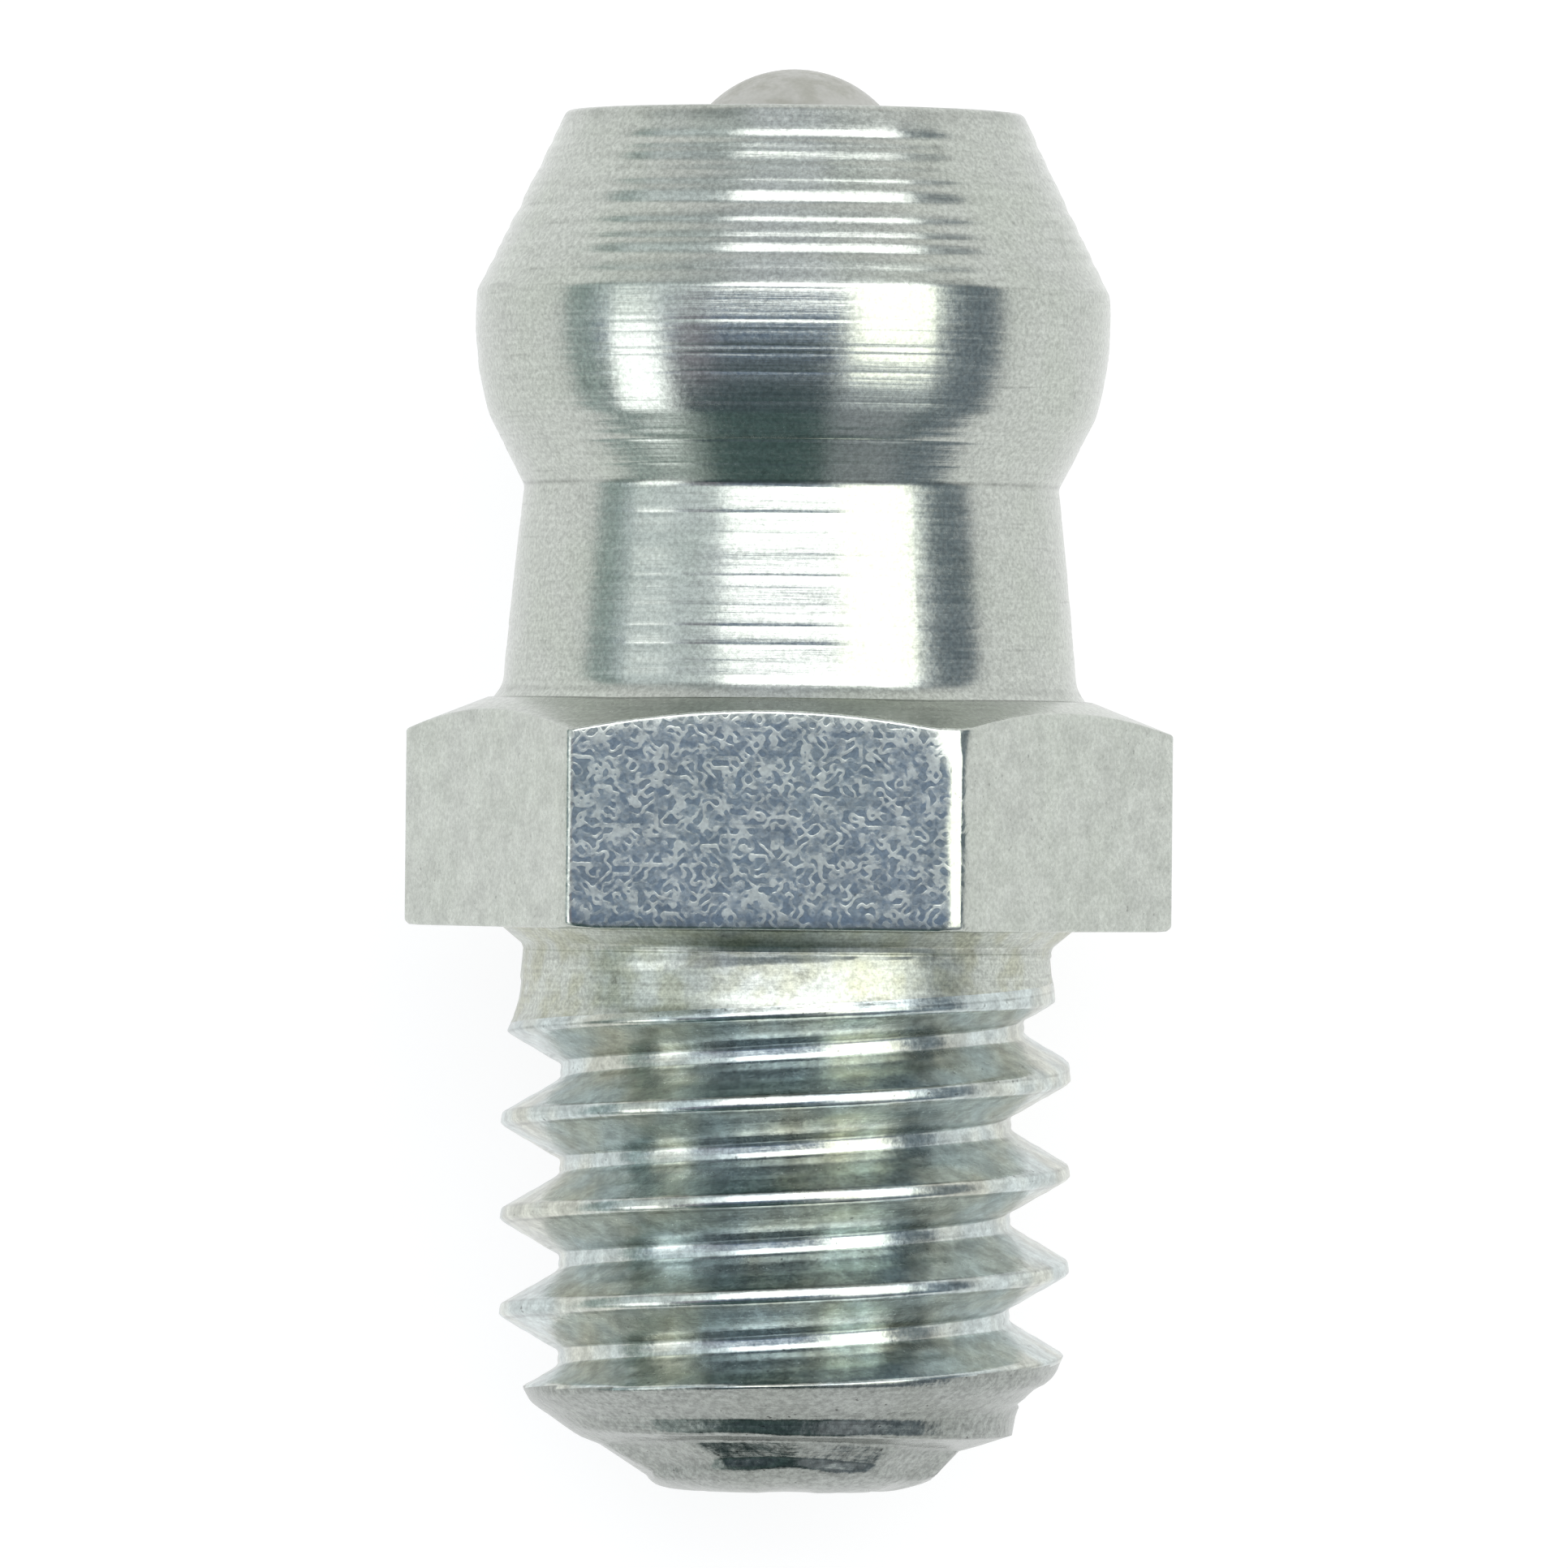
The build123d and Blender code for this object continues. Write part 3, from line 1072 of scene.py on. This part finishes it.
@dataclass
class CrimpedRim:
    """The end of the stub, closed in over the spring by a tool that leaves a ring of flats.

    The closing was uneven. On the -X side the ledge was pressed flat into the cone. Towards the
    mouth the lip wobbles in waves that each go a whole number of times round.
    """

    end_station: float = -5.93
    lip_station: float = -5.45
    mouth_radius: float = 0.90
    mouth_depth: float = 0.08
    land_radius: float = 1.05
    left: RimCorners = RimCorners((1.50, -5.80), (2.00, -5.475), (2.30, -5.27), (2.47, -5.15))
    middle: RimCorners = RimCorners((1.88, -5.555), (2.04, -5.350), (2.345, -5.300), (2.40, -5.15))
    right: RimCorners = RimCorners((1.68, -5.75), (1.90, -5.50), (2.40, -5.335), (2.432, -5.15))
    flat_bearings: tuple[float, ...] = (-8.5, 27.0, 62.7, 98.6, 134.5, 170.3, 206.2, 242.1, 278.0, 313.8)
    flat_depth: float = 0.100
    flat_fade: float = 1.1
    flat_reach: float = 40.0
    flat_ease: float = 0.008
    waves: tuple[int, ...] = (2, 3, 5, 8, 13, 17, 29)
    wave_sizes: Span = (0.3, 1.0)
    wave_height: float = 0.032
    wave_inward: float = 0.3
    wave_start: float = 0.8
    wave_run: float = 0.3
    seed: int = 11

    def rings(self, bearings: np.ndarray) -> list[Ring]:
        """Rings from the mouth out to the thread's low end.

        Args:
            bearings: Bearings of the columns.

        Returns:
            Rings in order.
        """
        corners = (self.left, self.middle, self.right)
        foot = Uneven(*(one.foot[1] for one in corners))
        top = Uneven(*(one.shoulder[1] for one in corners))
        wobble, high = self.wobble(bearings), top.at(bearings)
        made = []
        for places in zip(*(self.trace(one) for one in corners)):
            radius, station = (Uneven(*(place[axis] for place in places)) for axis in (0, 1))
            radii, stations = self.flattened(bearings, radius, station, foot, top), station.at(bearings)
            below = np.clip((stations - high) / (self.end_station - high), 0, 1)
            outside = np.clip((radii - self.wave_start) / self.wave_run, 0, 1)
            lift = np.maximum(wobble, 0.0) * below * outside
            inward = self.wave_inward * np.abs(wobble) * below
            made.append(np.stack([radii - inward, stations + lift], axis=1))
        return made

    def trace(self, corners: RimCorners) -> np.ndarray:
        """Half section of the rim at one place round it.

        Args:
            corners: Its corners there.

        Returns:
            Array of (radius, station).
        """
        mouth, land = (self.mouth_radius, self.end_station), (self.land_radius, self.end_station)
        rise = corners.foot[1] - self.end_station
        run = corners.foot[0] - self.land_radius
        bow_radius = (run**2 + rise**2) / 2 / rise
        turn = np.linspace(0.0, math.asin(run / bow_radius), 11)
        bow = land + bow_radius * np.stack([np.sin(turn), 1 - np.cos(turn)], axis=1)
        stretches = [
            path(mouth, land, 2),
            bow,
            path(corners.foot, corners.shoulder, 7),
            path(corners.shoulder, corners.ledge, 5),
            path(corners.ledge, corners.band, 4),
        ]
        inside = path((self.mouth_radius, self.end_station + self.mouth_depth), mouth, 2)
        return np.vstack([inside, *(stretch[1:] for stretch in stretches)])

    def wobble(self, bearings: np.ndarray) -> np.ndarray:
        """Unevenness of the pressed lip round the mouth.

        Args:
            bearings: Bearings of the columns.

        Returns:
            How far the lip is out at each.
        """
        draw = np.random.default_rng(self.seed)
        waves = [(number, draw.uniform(0, 360), draw.uniform(*self.wave_sizes)) for number in self.waves]
        return self.wave_height * sum(
            size / math.sqrt(number) * sine(number * bearings + phase) for number, phase, size in waves
        )

    def flattened(self, bearings: np.ndarray, radius: Uneven, station: Uneven,
                  foot: Uneven, top: Uneven) -> np.ndarray:
        """Radii of a ring after the small flats are pressed in between foot and shoulder.

        Args:
            bearings: Bearings of the columns.
            radius: Radius of the ring.
            station: Its station.
            foot: Station of the flats' lower ends.
            top: Station of their upper ends.

        Returns:
            The radii.
        """
        radii = radius.at(bearings)
        for bearing in self.flat_bearings:
            low, high, place, whole = (float(size.at(bearing)) for size in (foot, top, station, radius))
            depth = self.flat_depth - self.flat_fade * max(low - place, place - high, 0.0)
            radii = pressed(radii, bearings, bearing, whole - depth, self.flat_reach, self.flat_ease)
        return radii


@dataclass
class TurnedHead:
    """Neck, ball-shaped grip and nose of the body, as the lathe left them.

    The small waver is a sum of waves. Each goes so many times round, and its length along the
    axis is drawn by lot; longer ones are higher.
    """

    foot: Point = (3.12, 2.297)
    neck_base: Point = (3.00, 2.47)
    neck_top: Point = (2.795, 4.55)
    neck_swell: float = 0.008
    radius: float = 3.32
    station: float = 6.2808
    grip_height: float = 1.01
    crown_height: float = 0.31
    nose_length: float = 1.885
    nose_angle: float = 26.0
    seat_radius: float = 0.9985
    seat_step: float = 0.004
    corner_eases: tuple[float, ...] = (0.10, 0.04, 0.05, 0.03, 0.06)
    neck: Turning = Turning(
        2.06, 0.20, 0.018, 0.0015, 3, 0.055,
        tool_marks((0.41, 0.018, 0.0030), (0.60, 0.018, 0.0034), (1.12, 0.018, 0.0036),
                   (1.78, 0.020, 0.0040)),
    )
    cone: Turning = Turning(0.86, 0.16, 0.02, 0.002, 5, 0.05, tool_marks((0.50, 0.018, 0.006)))
    bulb: Turning = Turning(
        1.31, 0.15, 0.016, 0.0020, 8, 0.036,
        tool_marks((0.43, 0.020, 0.0030), (0.62, 0.020, 0.0045), (0.70, 0.020, 0.0040),
                   (0.86, 0.020, 0.0035), (0.97, 0.020, 0.0030)),
    )
    nose: Turning = Turning(
        2.0973, 0.16, 0.022, 0.002, 9, 0.045,
        tool_marks((0.16, 0.045, 0.005), (0.38, 0.065, 0.011), (0.55, 0.040, 0.005),
                   (0.71, 0.050, 0.009), (0.97, 0.085, 0.018), (1.17, 0.050, 0.005),
                   (1.33, 0.050, 0.007), (1.46, 0.085, 0.014), (1.60, 0.040, 0.005),
                   (1.72, 0.060, 0.012)),
    )
    waver: float = 0.0016
    waver_turns: tuple[int, ...] = (1, 2, -1, 3, -2, 4, -3, 5)
    waver_lengths: Span = (0.10, 0.55)
    waver_room: float = 0.08
    waver_fade: float = 0.1
    waver_seed: int = 21

    @property
    def nose_station(self) -> float:
        """Station of the nose face."""
        return self.station + self.crown_height + self.nose_length

    def on_ball(self, height: float) -> Point:
        """Point of the ball form at this height above its middle."""
        return (math.sqrt(self.radius**2 - height**2), self.station + height)

    def trace(self) -> np.ndarray:
        """Outside of the head from the neck's foot to the nose face.

        Returns:
            Array of (radius, station).
        """
        base, top = np.array(self.neck_base), np.array(self.neck_top)
        side = path(base, top, 60)
        share = np.linspace(-1, 1, len(side))
        outward = np.array([top[1] - base[1], base[0] - top[0]])
        side = side + np.outer(self.neck_swell * (1 - share**2), unit(outward))
        grip, crown = self.on_ball(-self.grip_height), self.on_ball(self.crown_height)
        bulb = [self.on_ball(height) for height in np.linspace(-self.grip_height, self.crown_height, 90)]
        nose = (crown[0] - self.nose_length * slope(self.nose_angle), self.nose_station)
        stretches = [
            path(self.foot, base, 8),
            self.neck.cut(side),
            self.cone.cut(path(top, grip, 20)),
            self.bulb.cut(np.array(bulb)),
            self.nose.cut(path(crown, nose, 40)),
            path(nose, (self.seat_radius, nose[1]), 10),
        ]
        return eased(stretches, self.corner_eases, 5)

    def rings(self, bearings: np.ndarray) -> list[Ring]:
        """Rings of the head's outside, with the small waver that the lathe leaves.

        Args:
            bearings: Bearings of the columns.

        Returns:
            Rings in order.
        """
        draw = np.random.default_rng(self.waver_seed)
        waves = [(draw.uniform(*self.waver_lengths), turns, draw.uniform(0, 360))
                 for turns in self.waver_turns]
        made = []
        for radius, station in self.trace():
            to_face = self.nose_station - self.waver_room - station
            calm = min(1.0, max(0.0, to_face) / self.waver_fade)
            waver = sum(length * sine(360 * station / length + turns * bearings + phase)
                        for length, turns, phase in waves)
            radii = radius + self.waver * calm * waver
            made.append(np.stack([radii, np.full_like(radii, station)], axis=1))
        return made


@dataclass
class NippleBody:
    """Turned and milled body, with its thread, bore, ball seat and crimped rim."""

    hexagon: Hexagon = field(default_factory=Hexagon)
    thread: RolledThread = field(default_factory=RolledThread)
    rim: CrimpedRim = field(default_factory=CrimpedRim)
    head: TurnedHead = field(default_factory=TurnedHead)
    bore_radius: float = 1.45
    bore_station: float = 7.709
    cove_radius: float = 2.99
    cove_station: float = -0.235
    nick_depth: float = 0.005
    nick_half: float = 0.02
    shank_spread: float = 0.015
    seat_run: float = 0.05
    chamfer_room: float = 0.01

    def build(self) -> bpy.types.Object:
        """Grows the whole skin, from the mouth round the outside and back through the bore.

        Returns:
            The body's object, with one material for each zone.
        """
        bearings = self.hexagon.bearings()
        skin = Skin(bearings)
        skin.rings(self.rim.rings(bearings), Zone.PRESSED)
        self.thread.grow(skin, Zone.ROLLED)
        skin.rings(self.shank(), Zone.COVE)
        neck_radius = self.head.foot[0] + self.chamfer_room
        for rings, zone in self.hexagon.stretches(bearings, self.cove_radius, neck_radius):
            skin.rings(rings, zone)
        skin.rings(self.head.rings(bearings), Zone.TURNED)
        self.bore(skin)
        body = skin.finish("body", [zone.value.material() for zone in Zone])
        keen = body.modifiers.new("even_faces", "WEIGHTED_NORMAL")
        keen.mode = "FACE_AREA"
        keen.weight = 50
        return body

    def shank(self) -> np.ndarray:
        """Rings of the small groove and the sloped corner between thread and seating face.

        Returns:
            Array of (radius, station).
        """
        top, high = self.thread.shank_top, self.thread.high_station
        edge = (top, high + self.nick_half)
        nick = (top - self.nick_depth, high + 2 * self.nick_half)
        foot = (top + self.shank_spread, self.cove_station)
        seat = (self.cove_radius, self.hexagon.seat_station)
        stretches = [
            path((top, high), edge, 2),
            path(edge, nick, 2),
            path(nick, foot, 3),
            path(foot, seat, 8),
            path(seat, (seat[0] + self.seat_run, seat[1]), 1),
        ]
        return eased(stretches, [0.006, 0.008, 0.012, 0.03], 3)[1:-1]

    def bore(self, skin: Skin) -> None:
        """Grows the ball seat, the bore and the inside of the lip, and closes the skin.

        Args:
            skin: The body's skin, whose last ring lies in the nose face.
        """
        seat = (self.head.seat_radius, self.head.nose_station - self.head.seat_step)
        throat = (self.bore_radius, self.bore_station)
        lip = (self.bore_radius, self.rim.lip_station)
        mouth = (self.rim.mouth_radius, self.rim.lip_station)
        skin.rings(path(seat, throat, 6), Zone.TURNED)
        skin.rings(path(throat, lip, 8)[1:], Zone.BORED)
        skin.rings(path(lip, mouth, 3)[1:], Zone.BORED)
        skin.close(Zone.BORED)

    def dress(self, body: bpy.types.Object) -> None:
        """Hands the body over to the frame, in place of its node.

        Args:
            body: The body's object.
        """
        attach(body, "nipple")
        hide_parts("nipple_body")


# ----------------------------------------------------------------------------- valve


@dataclass(frozen=True)
class GroundSteel:
    """Hardened ball steel under a grey film of old grease."""

    name: str = "ball_ground"
    colour: Colour = (0.480, 0.480, 0.450)
    film: Colour = (0.39, 0.39, 0.35)
    film_patches: Patches = Patches(3.0, 0.4, 0.65, 4.0, 0.6)
    grain_fineness: float = 22.0
    grain_depth: float = 0.0016
    metallic: float = 0.85
    roughness: Span = (0.34, 0.50)

    def material(self) -> bpy.types.Material:
        """Lays out the material's nodes.

        Returns:
            The finished material.
        """
        material = bpy.data.materials.new(self.name)
        lay = Wiring(material)
        grain = lay.noise(self.grain_fineness, 2.0, 0.6)
        looks = {
            "Base Color": lay.mix(lay.patchy(self.film_patches), opaque(self.colour), opaque(self.film)),
            "Metallic": self.metallic,
            "Roughness": lay.swung(grain, *self.roughness),
        }
        lay.metal(looks, grain, self.grain_depth * MM)
        return material


@dataclass
class CheckBall:
    """The ball that shuts the nose from inside."""

    steps: int = 28

    def build(self) -> bpy.types.Object:
        """Makes the ball from the six sides of a cube, blown up round.

        Returns:
            The ball's object, as large as its node and in its place.
        """
        low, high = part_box("check_ball")
        radius, middle = (high.y - low.y) / 2, (high.y + low.y) / 2
        ticks = np.tan(np.linspace(-math.pi / 4, math.pi / 4, self.steps + 1))
        numbers: dict[tuple[int, ...], int] = {}
        faces = []
        for axis in range(3):
            for side in (0, self.steps):
                outward = (side > 0) == (axis != 1)
                for u in range(self.steps):
                    for v in range(self.steps):
                        loop = [(u, v), (u + 1, v), (u + 1, v + 1), (u, v + 1)]
                        cells = [(*cell[:axis], side, *cell[axis:]) for cell in loop]
                        corners = [numbers.setdefault(cell, len(numbers)) for cell in cells]
                        faces.append(corners if outward else corners[::-1])
        directions = unit(np.array([[ticks[index] for index in cell] for cell in numbers]))
        points = directions * radius + (0, middle, 0)
        return placed("ball", points, faces, [GroundSteel().material()])

    def dress(self, ball: bpy.types.Object) -> None:
        """Hands the ball over to the frame, in place of its node.

        Args:
            ball: The ball's object.
        """
        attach(ball, "ball")
        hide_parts("check_ball")


@dataclass(frozen=True)
class DrawnWire:
    """Bright drawn spring wire, with fine lines along it and a trace of oil."""

    name: str = "spring_wire"
    colour: Colour = (0.46, 0.45, 0.43)
    oil: Colour = (0.30, 0.26, 0.20)
    oil_patches: Patches = Patches(2.2, 0.45, 0.7, 3.0, 0.6)
    line_fineness: tuple[float, float, float] = (4.0, 60.0, 4.0)
    line_depth: float = 0.002
    roughness: Span = (0.20, 0.38)

    def material(self) -> bpy.types.Material:
        """Lays out the material's nodes.

        Returns:
            The finished material.
        """
        material = bpy.data.materials.new(self.name)
        lay = Wiring(material)
        lengthwise = lay.node("VectorMath", {0: lay.spot, 1: self.line_fineness}, operation="MULTIPLY")
        drawn = lay.noise(1.0, vector=lengthwise.outputs[0])
        looks = {
            "Base Color": lay.mix(lay.patchy(self.oil_patches), opaque(self.colour), opaque(self.oil)),
            "Metallic": 1.0,
            "Roughness": lay.swung(drawn, *self.roughness),
        }
        lay.metal(looks, drawn, self.line_depth * MM)
        return material


@dataclass
class ReturnSpring:
    """Compression spring with closed ends, between the lip and the ball."""

    wire_radius: float = 0.15
    coil_radius: float = 1.05
    low_station: float = -5.28
    high_station: float = 6.725
    open_turns: int = 8
    closed_turns: float = 1.0
    closing_turns: float = 0.5
    closed_pitch: float = 0.32
    wire_sides: int = 14
    steps_per_turn: int = 56
    end_room: float = 0.40

    def centre_line(self) -> np.ndarray:
        """Middle of the wire, from the low end to the high end.

        Returns:
            Its points, in mm.
        """
        end_rise = 2 * self.closed_pitch * (self.closed_turns + self.closing_turns / 2)
        height = self.high_station - self.low_station
        open_pitch = (height - end_rise) / (self.open_turns + self.closing_turns)
        closed = (self.closed_turns, self.closed_pitch)
        closing = (self.closing_turns, (self.closed_pitch + open_pitch) / 2)
        windings = (closed, closing, (self.open_turns, open_pitch), closing, closed)
        turns = np.cumsum([0, *(count for count, _ in windings)])
        rises = np.cumsum([0, *(count * pitch for count, pitch in windings)])
        at = np.linspace(0, turns[-1], int(turns[-1] * self.steps_per_turn) + 1)
        stations = self.low_station + np.interp(at, turns, rises)
        across = self.coil_radius * sine(360 * at), self.coil_radius * cosine(360 * at)
        return np.stack([across[0], stations, across[1]], axis=1)

    def build(self) -> bpy.types.Object:
        """Sweeps the round wire along its centre line and closes both cut ends.

        Returns:
            The spring's object.
        """
        line, sides = self.centre_line(), self.wire_sides
        ahead = unit(np.gradient(line, axis=0))
        outward = unit(line * (1, 0, 1))
        outward = unit(outward - np.sum(outward * ahead, axis=1)[:, None] * ahead)
        beside = np.cross(ahead, outward)
        around = np.linspace(0, 2 * math.pi, sides, endpoint=False)
        hoops = [line + self.wire_radius * (math.cos(a) * outward + math.sin(a) * beside) for a in around]
        points = np.stack(hoops, axis=1).reshape(-1, 3)
        faces = []
        for here in range(0, len(points) - sides, sides):
            for side in range(sides):
                after = (side + 1) % sides
                faces.append((here + side, here + after, here + sides + after, here + sides + side))
        faces.append(tuple(range(sides))[::-1])
        faces.append(tuple(range(len(points) - sides, len(points))))
        return placed("spring", points * MM, faces, [DrawnWire().material()])

    def dress(self, spring: bpy.types.Object, joint: str) -> None:
        """Hands the spring over to the frame, in place of its node, and gives it a mesh of its own.

        Args:
            spring: The spring's object.
            joint: Name of the ball's joint; not used.
        """
        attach(spring, "nipple")
        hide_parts("return_spring")
        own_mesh(spring)


# ----------------------------------------------------------------------------- studio


@dataclass(frozen=True)
class Glow:
    """A soft lamp, or a lighter or darker stretch of the room, seen from the nipple.

    The swing goes from straight up towards +X, and the tilt towards +Y.
    """

    swings: Span
    tilts: Span
    colour: Colour
    swing_fade: float = 4.0
    tilt_fade: float = 3.0


ALL_ROUND = (-200, 200)


@dataclass
class Studio:
    """Pale floor, soft lamps in a dim room, and camera.

    The floor's size and the camera's places are in metres. The skyline is the pale floor's far
    edge, as the metal shows it. Beyond the head a haze stands over it: it sets in over a span of
    sines towards +Y, and grows over a span of heights above the floor, down from the higher.
    """

    floor_radius: float = 3.0
    floor_sides: int = 96
    floor_glow: float = 0.83
    floor_paint: float = 0.24
    camera_swing: float = 4.3
    camera_roll: float = 0.55
    camera_distance: float = 0.200
    camera_side: float = -0.00005
    camera_clip: Span = (0.005, 20.0)
    eye_station: float = 0.0012
    aim_station: float = 0.001450
    lens: float = 439.0
    sensor: float = 36.0
    overhead: Colour = (0.23, 0.31, 0.47)
    surroundings: tuple[Glow, ...] = (
        Glow(ALL_ROUND, (-100, -10), (0.17, 0.20, 0.24), tilt_fade=4.0),
        Glow(ALL_ROUND, (-100, -21), (0.095, 0.135, 0.160), tilt_fade=4.0),
        Glow(ALL_ROUND, (-100, -42), (0.100, 0.165, 0.165), tilt_fade=5.0),
        Glow(ALL_ROUND, (-100, -62), (0.050, 0.085, 0.090), tilt_fade=5.0),
        Glow(ALL_ROUND, (2.5, 100), (0.55, 0.64, 0.74), tilt_fade=1.5),
        Glow(ALL_ROUND, (4.2, 8.0), (0.28, 0.34, 0.41), tilt_fade=1.2),
        Glow(ALL_ROUND, (43, 100), (0.70, 0.74, 0.80)),
        Glow(ALL_ROUND, (64, 100), (0.48, 0.53, 0.60), tilt_fade=5.0),
        Glow((24, 72), (43, 100), (0.56, 0.60, 0.62), 6.0),
        Glow((-112, -72), (-90, 90), (0.42, 0.52, 0.52)),
        Glow((63, 112), (-90, 90), (0.21, 0.26, 0.31), 5.0),
        Glow((-71, -27), (3, 36), (0.92, 1.00, 1.04)),
        Glow((-71, -27), (36, 60), (0.54, 0.59, 0.61)),
        Glow((-40, -26), (-22, 4), (0.36, 0.34, 0.40)),
        Glow((-70, -42), (-58, -31), (0.50, 0.57, 0.56)),
        Glow((22, 60), (-58, -9), (0.38, 0.41, 0.45)),
        Glow((22, 61), (-31, -13), (0.60, 0.66, 0.72)),
        Glow((22, 61), (-24, -13), (0.88, 0.94, 1.00)),
    )
    lamps: tuple[Glow, ...] = (
        Glow((-25, 60), (9.0, 42), (3.10, 3.10, 3.15), 5.0, 1.2),
        Glow((26, 58), (-15, 22), (2.75, 2.76, 2.52), 4.0, 2.0),
        Glow((-66, -46), (-44, 8), (1.30, 1.36, 1.38), 4.0, 4.0),
        Glow((-66, -46), (-30, -1), (2.70, 2.76, 2.80), 4.0, 3.0),
    )
    skyline: Colour = (1.0, 1.0, 1.0)
    skyline_height: float = 3.0
    skyline_fade: float = 1.0
    haze_reaches: Span = (0.4, 0.8)
    haze_heights: Span = (34.0, 4.0)

    def build(self, floor_height: float) -> None:
        """Sets up the floor, the room's light and the camera.

        Args:
            floor_height: Height of the floor, in metres.
        """
        self.floor(floor_height)
        self.room()
        self.camera()

    def floor(self, height: float) -> None:
        """Lays the floor as a wide disc that glows to the eye and in the metal.

        Args:
            height: Its height, in metres.
        """
        paint = bpy.data.materials.new("floor_paint")
        lay = Wiring(paint)
        rays = lay.node("LightPath").outputs
        kinds = ("Camera", "Glossy", "Transmission")
        seen = lay.chain("MAXIMUM", *(rays[f"Is {kind} Ray"] for kind in kinds))
        strength = lay.product(seen, self.floor_glow)
        glow = lay.node("Emission", {"Color": opaque((1.0, 1.0, 1.0)), "Strength": strength})
        matt = lay.node("BsdfDiffuse", {"Color": opaque((self.floor_paint,) * 3)})
        both = lay.node("AddShader", {0: glow.outputs[0], 1: matt.outputs[0]})
        lay.node("OutputMaterial", {"Surface": both.outputs[0]})
        around = 360 / self.floor_sides * np.arange(self.floor_sides)
        across, along = self.floor_radius * cosine(around), self.floor_radius * sine(around)
        points = np.stack([across, along, np.full_like(across, height)], axis=1)
        placed("floor", points, [range(self.floor_sides)], [paint], smooth=False)

    def room(self) -> None:
        """Paints the dim room round the lamps by direction."""
        world = bpy.data.worlds.new("room")
        lay = Wiring(world)
        x, y, z = lay.node("SeparateXYZ", {0: lay.node("TexCoord").outputs["Generated"]}).outputs
        swing = lay.maths("DEGREES", lay.maths("ARCTAN2", x, z))
        tilt, height = (lay.maths("DEGREES", lay.maths("ARCSINE", part)) for part in (y, z))
        colour = opaque(self.overhead)
        for glow in (*self.surroundings, *self.lamps):
            share = 1.0
            bounds = ((swing, glow.swings, glow.swing_fade), (tilt, glow.tilts, glow.tilt_fade))
            for angle, (low, high), fade in bounds:
                rising = lay.spread(angle, low - fade, low + fade)
                falling = lay.spread(angle, high + fade, high - fade)
                share = lay.product(share, lay.product(rising, falling))
            colour = lay.mix(share, colour, opaque(glow.colour))
        haze = lay.product(lay.spread(y, *self.haze_reaches), lay.spread(height, *self.haze_heights))
        edge = (self.skyline_height + self.skyline_fade, self.skyline_height - self.skyline_fade)
        for share in (haze, lay.spread(height, *edge)):
            colour = lay.mix(share, colour, opaque(self.skyline))
        glow = lay.node("Background", {"Color": colour, "Strength": 1.0})
        lay.node("OutputWorld", {"Surface": glow.outputs[0]})
        bpy.context.scene.world = world

    def camera(self) -> None:
        """Sets the camera over the nipple, looking down on it."""
        data = bpy.data.cameras.new("camera")
        data.lens, data.sensor_width = self.lens, self.sensor
        data.clip_start, data.clip_end = self.camera_clip
        aim = Vector((self.camera_side, self.aim_station, 0))
        reach, swing = self.camera_distance, self.camera_swing
        eye = Vector((self.camera_side + reach * sine(swing), self.eye_station, reach * cosine(swing)))
        back = (eye - aim).normalized()
        right = Vector((0, 1, 0)).cross(back).normalized()
        right.rotate(Quaternion(back, math.radians(self.camera_roll)))
        turn = Matrix((right, back.cross(right), back)).transposed()
        made = bpy.data.objects.new("camera", data)
        made.matrix_world = Matrix.Translation(eye) @ turn.to_4x4()
        bpy.context.scene.collection.objects.link(made)
        bpy.context.scene.camera = made


def main() -> None:
    """Builds the pieces in order, then the studio round them."""
    logging.basicConfig(level=logging.INFO, format="%(message)s")
    bpy.context.scene.view_settings.view_transform = "Standard"

    nipple = NippleBody()
    body = nipple.build()
    nipple.dress(body)
    LOG.info("body: %d faces", len(body.data.polygons))

    valve = CheckBall()
    ball = valve.build()
    valve.dress(ball)
    LOG.info("ball: %d faces", len(ball.data.polygons))

    coil = ReturnSpring()
    spring = coil.build()
    coil.dress(spring, "ball_slide")
    LOG.info("spring: %d faces", len(spring.data.polygons))

    Studio().build(CAD_BOX[0].z)


if __name__ == "__main__":
    main()
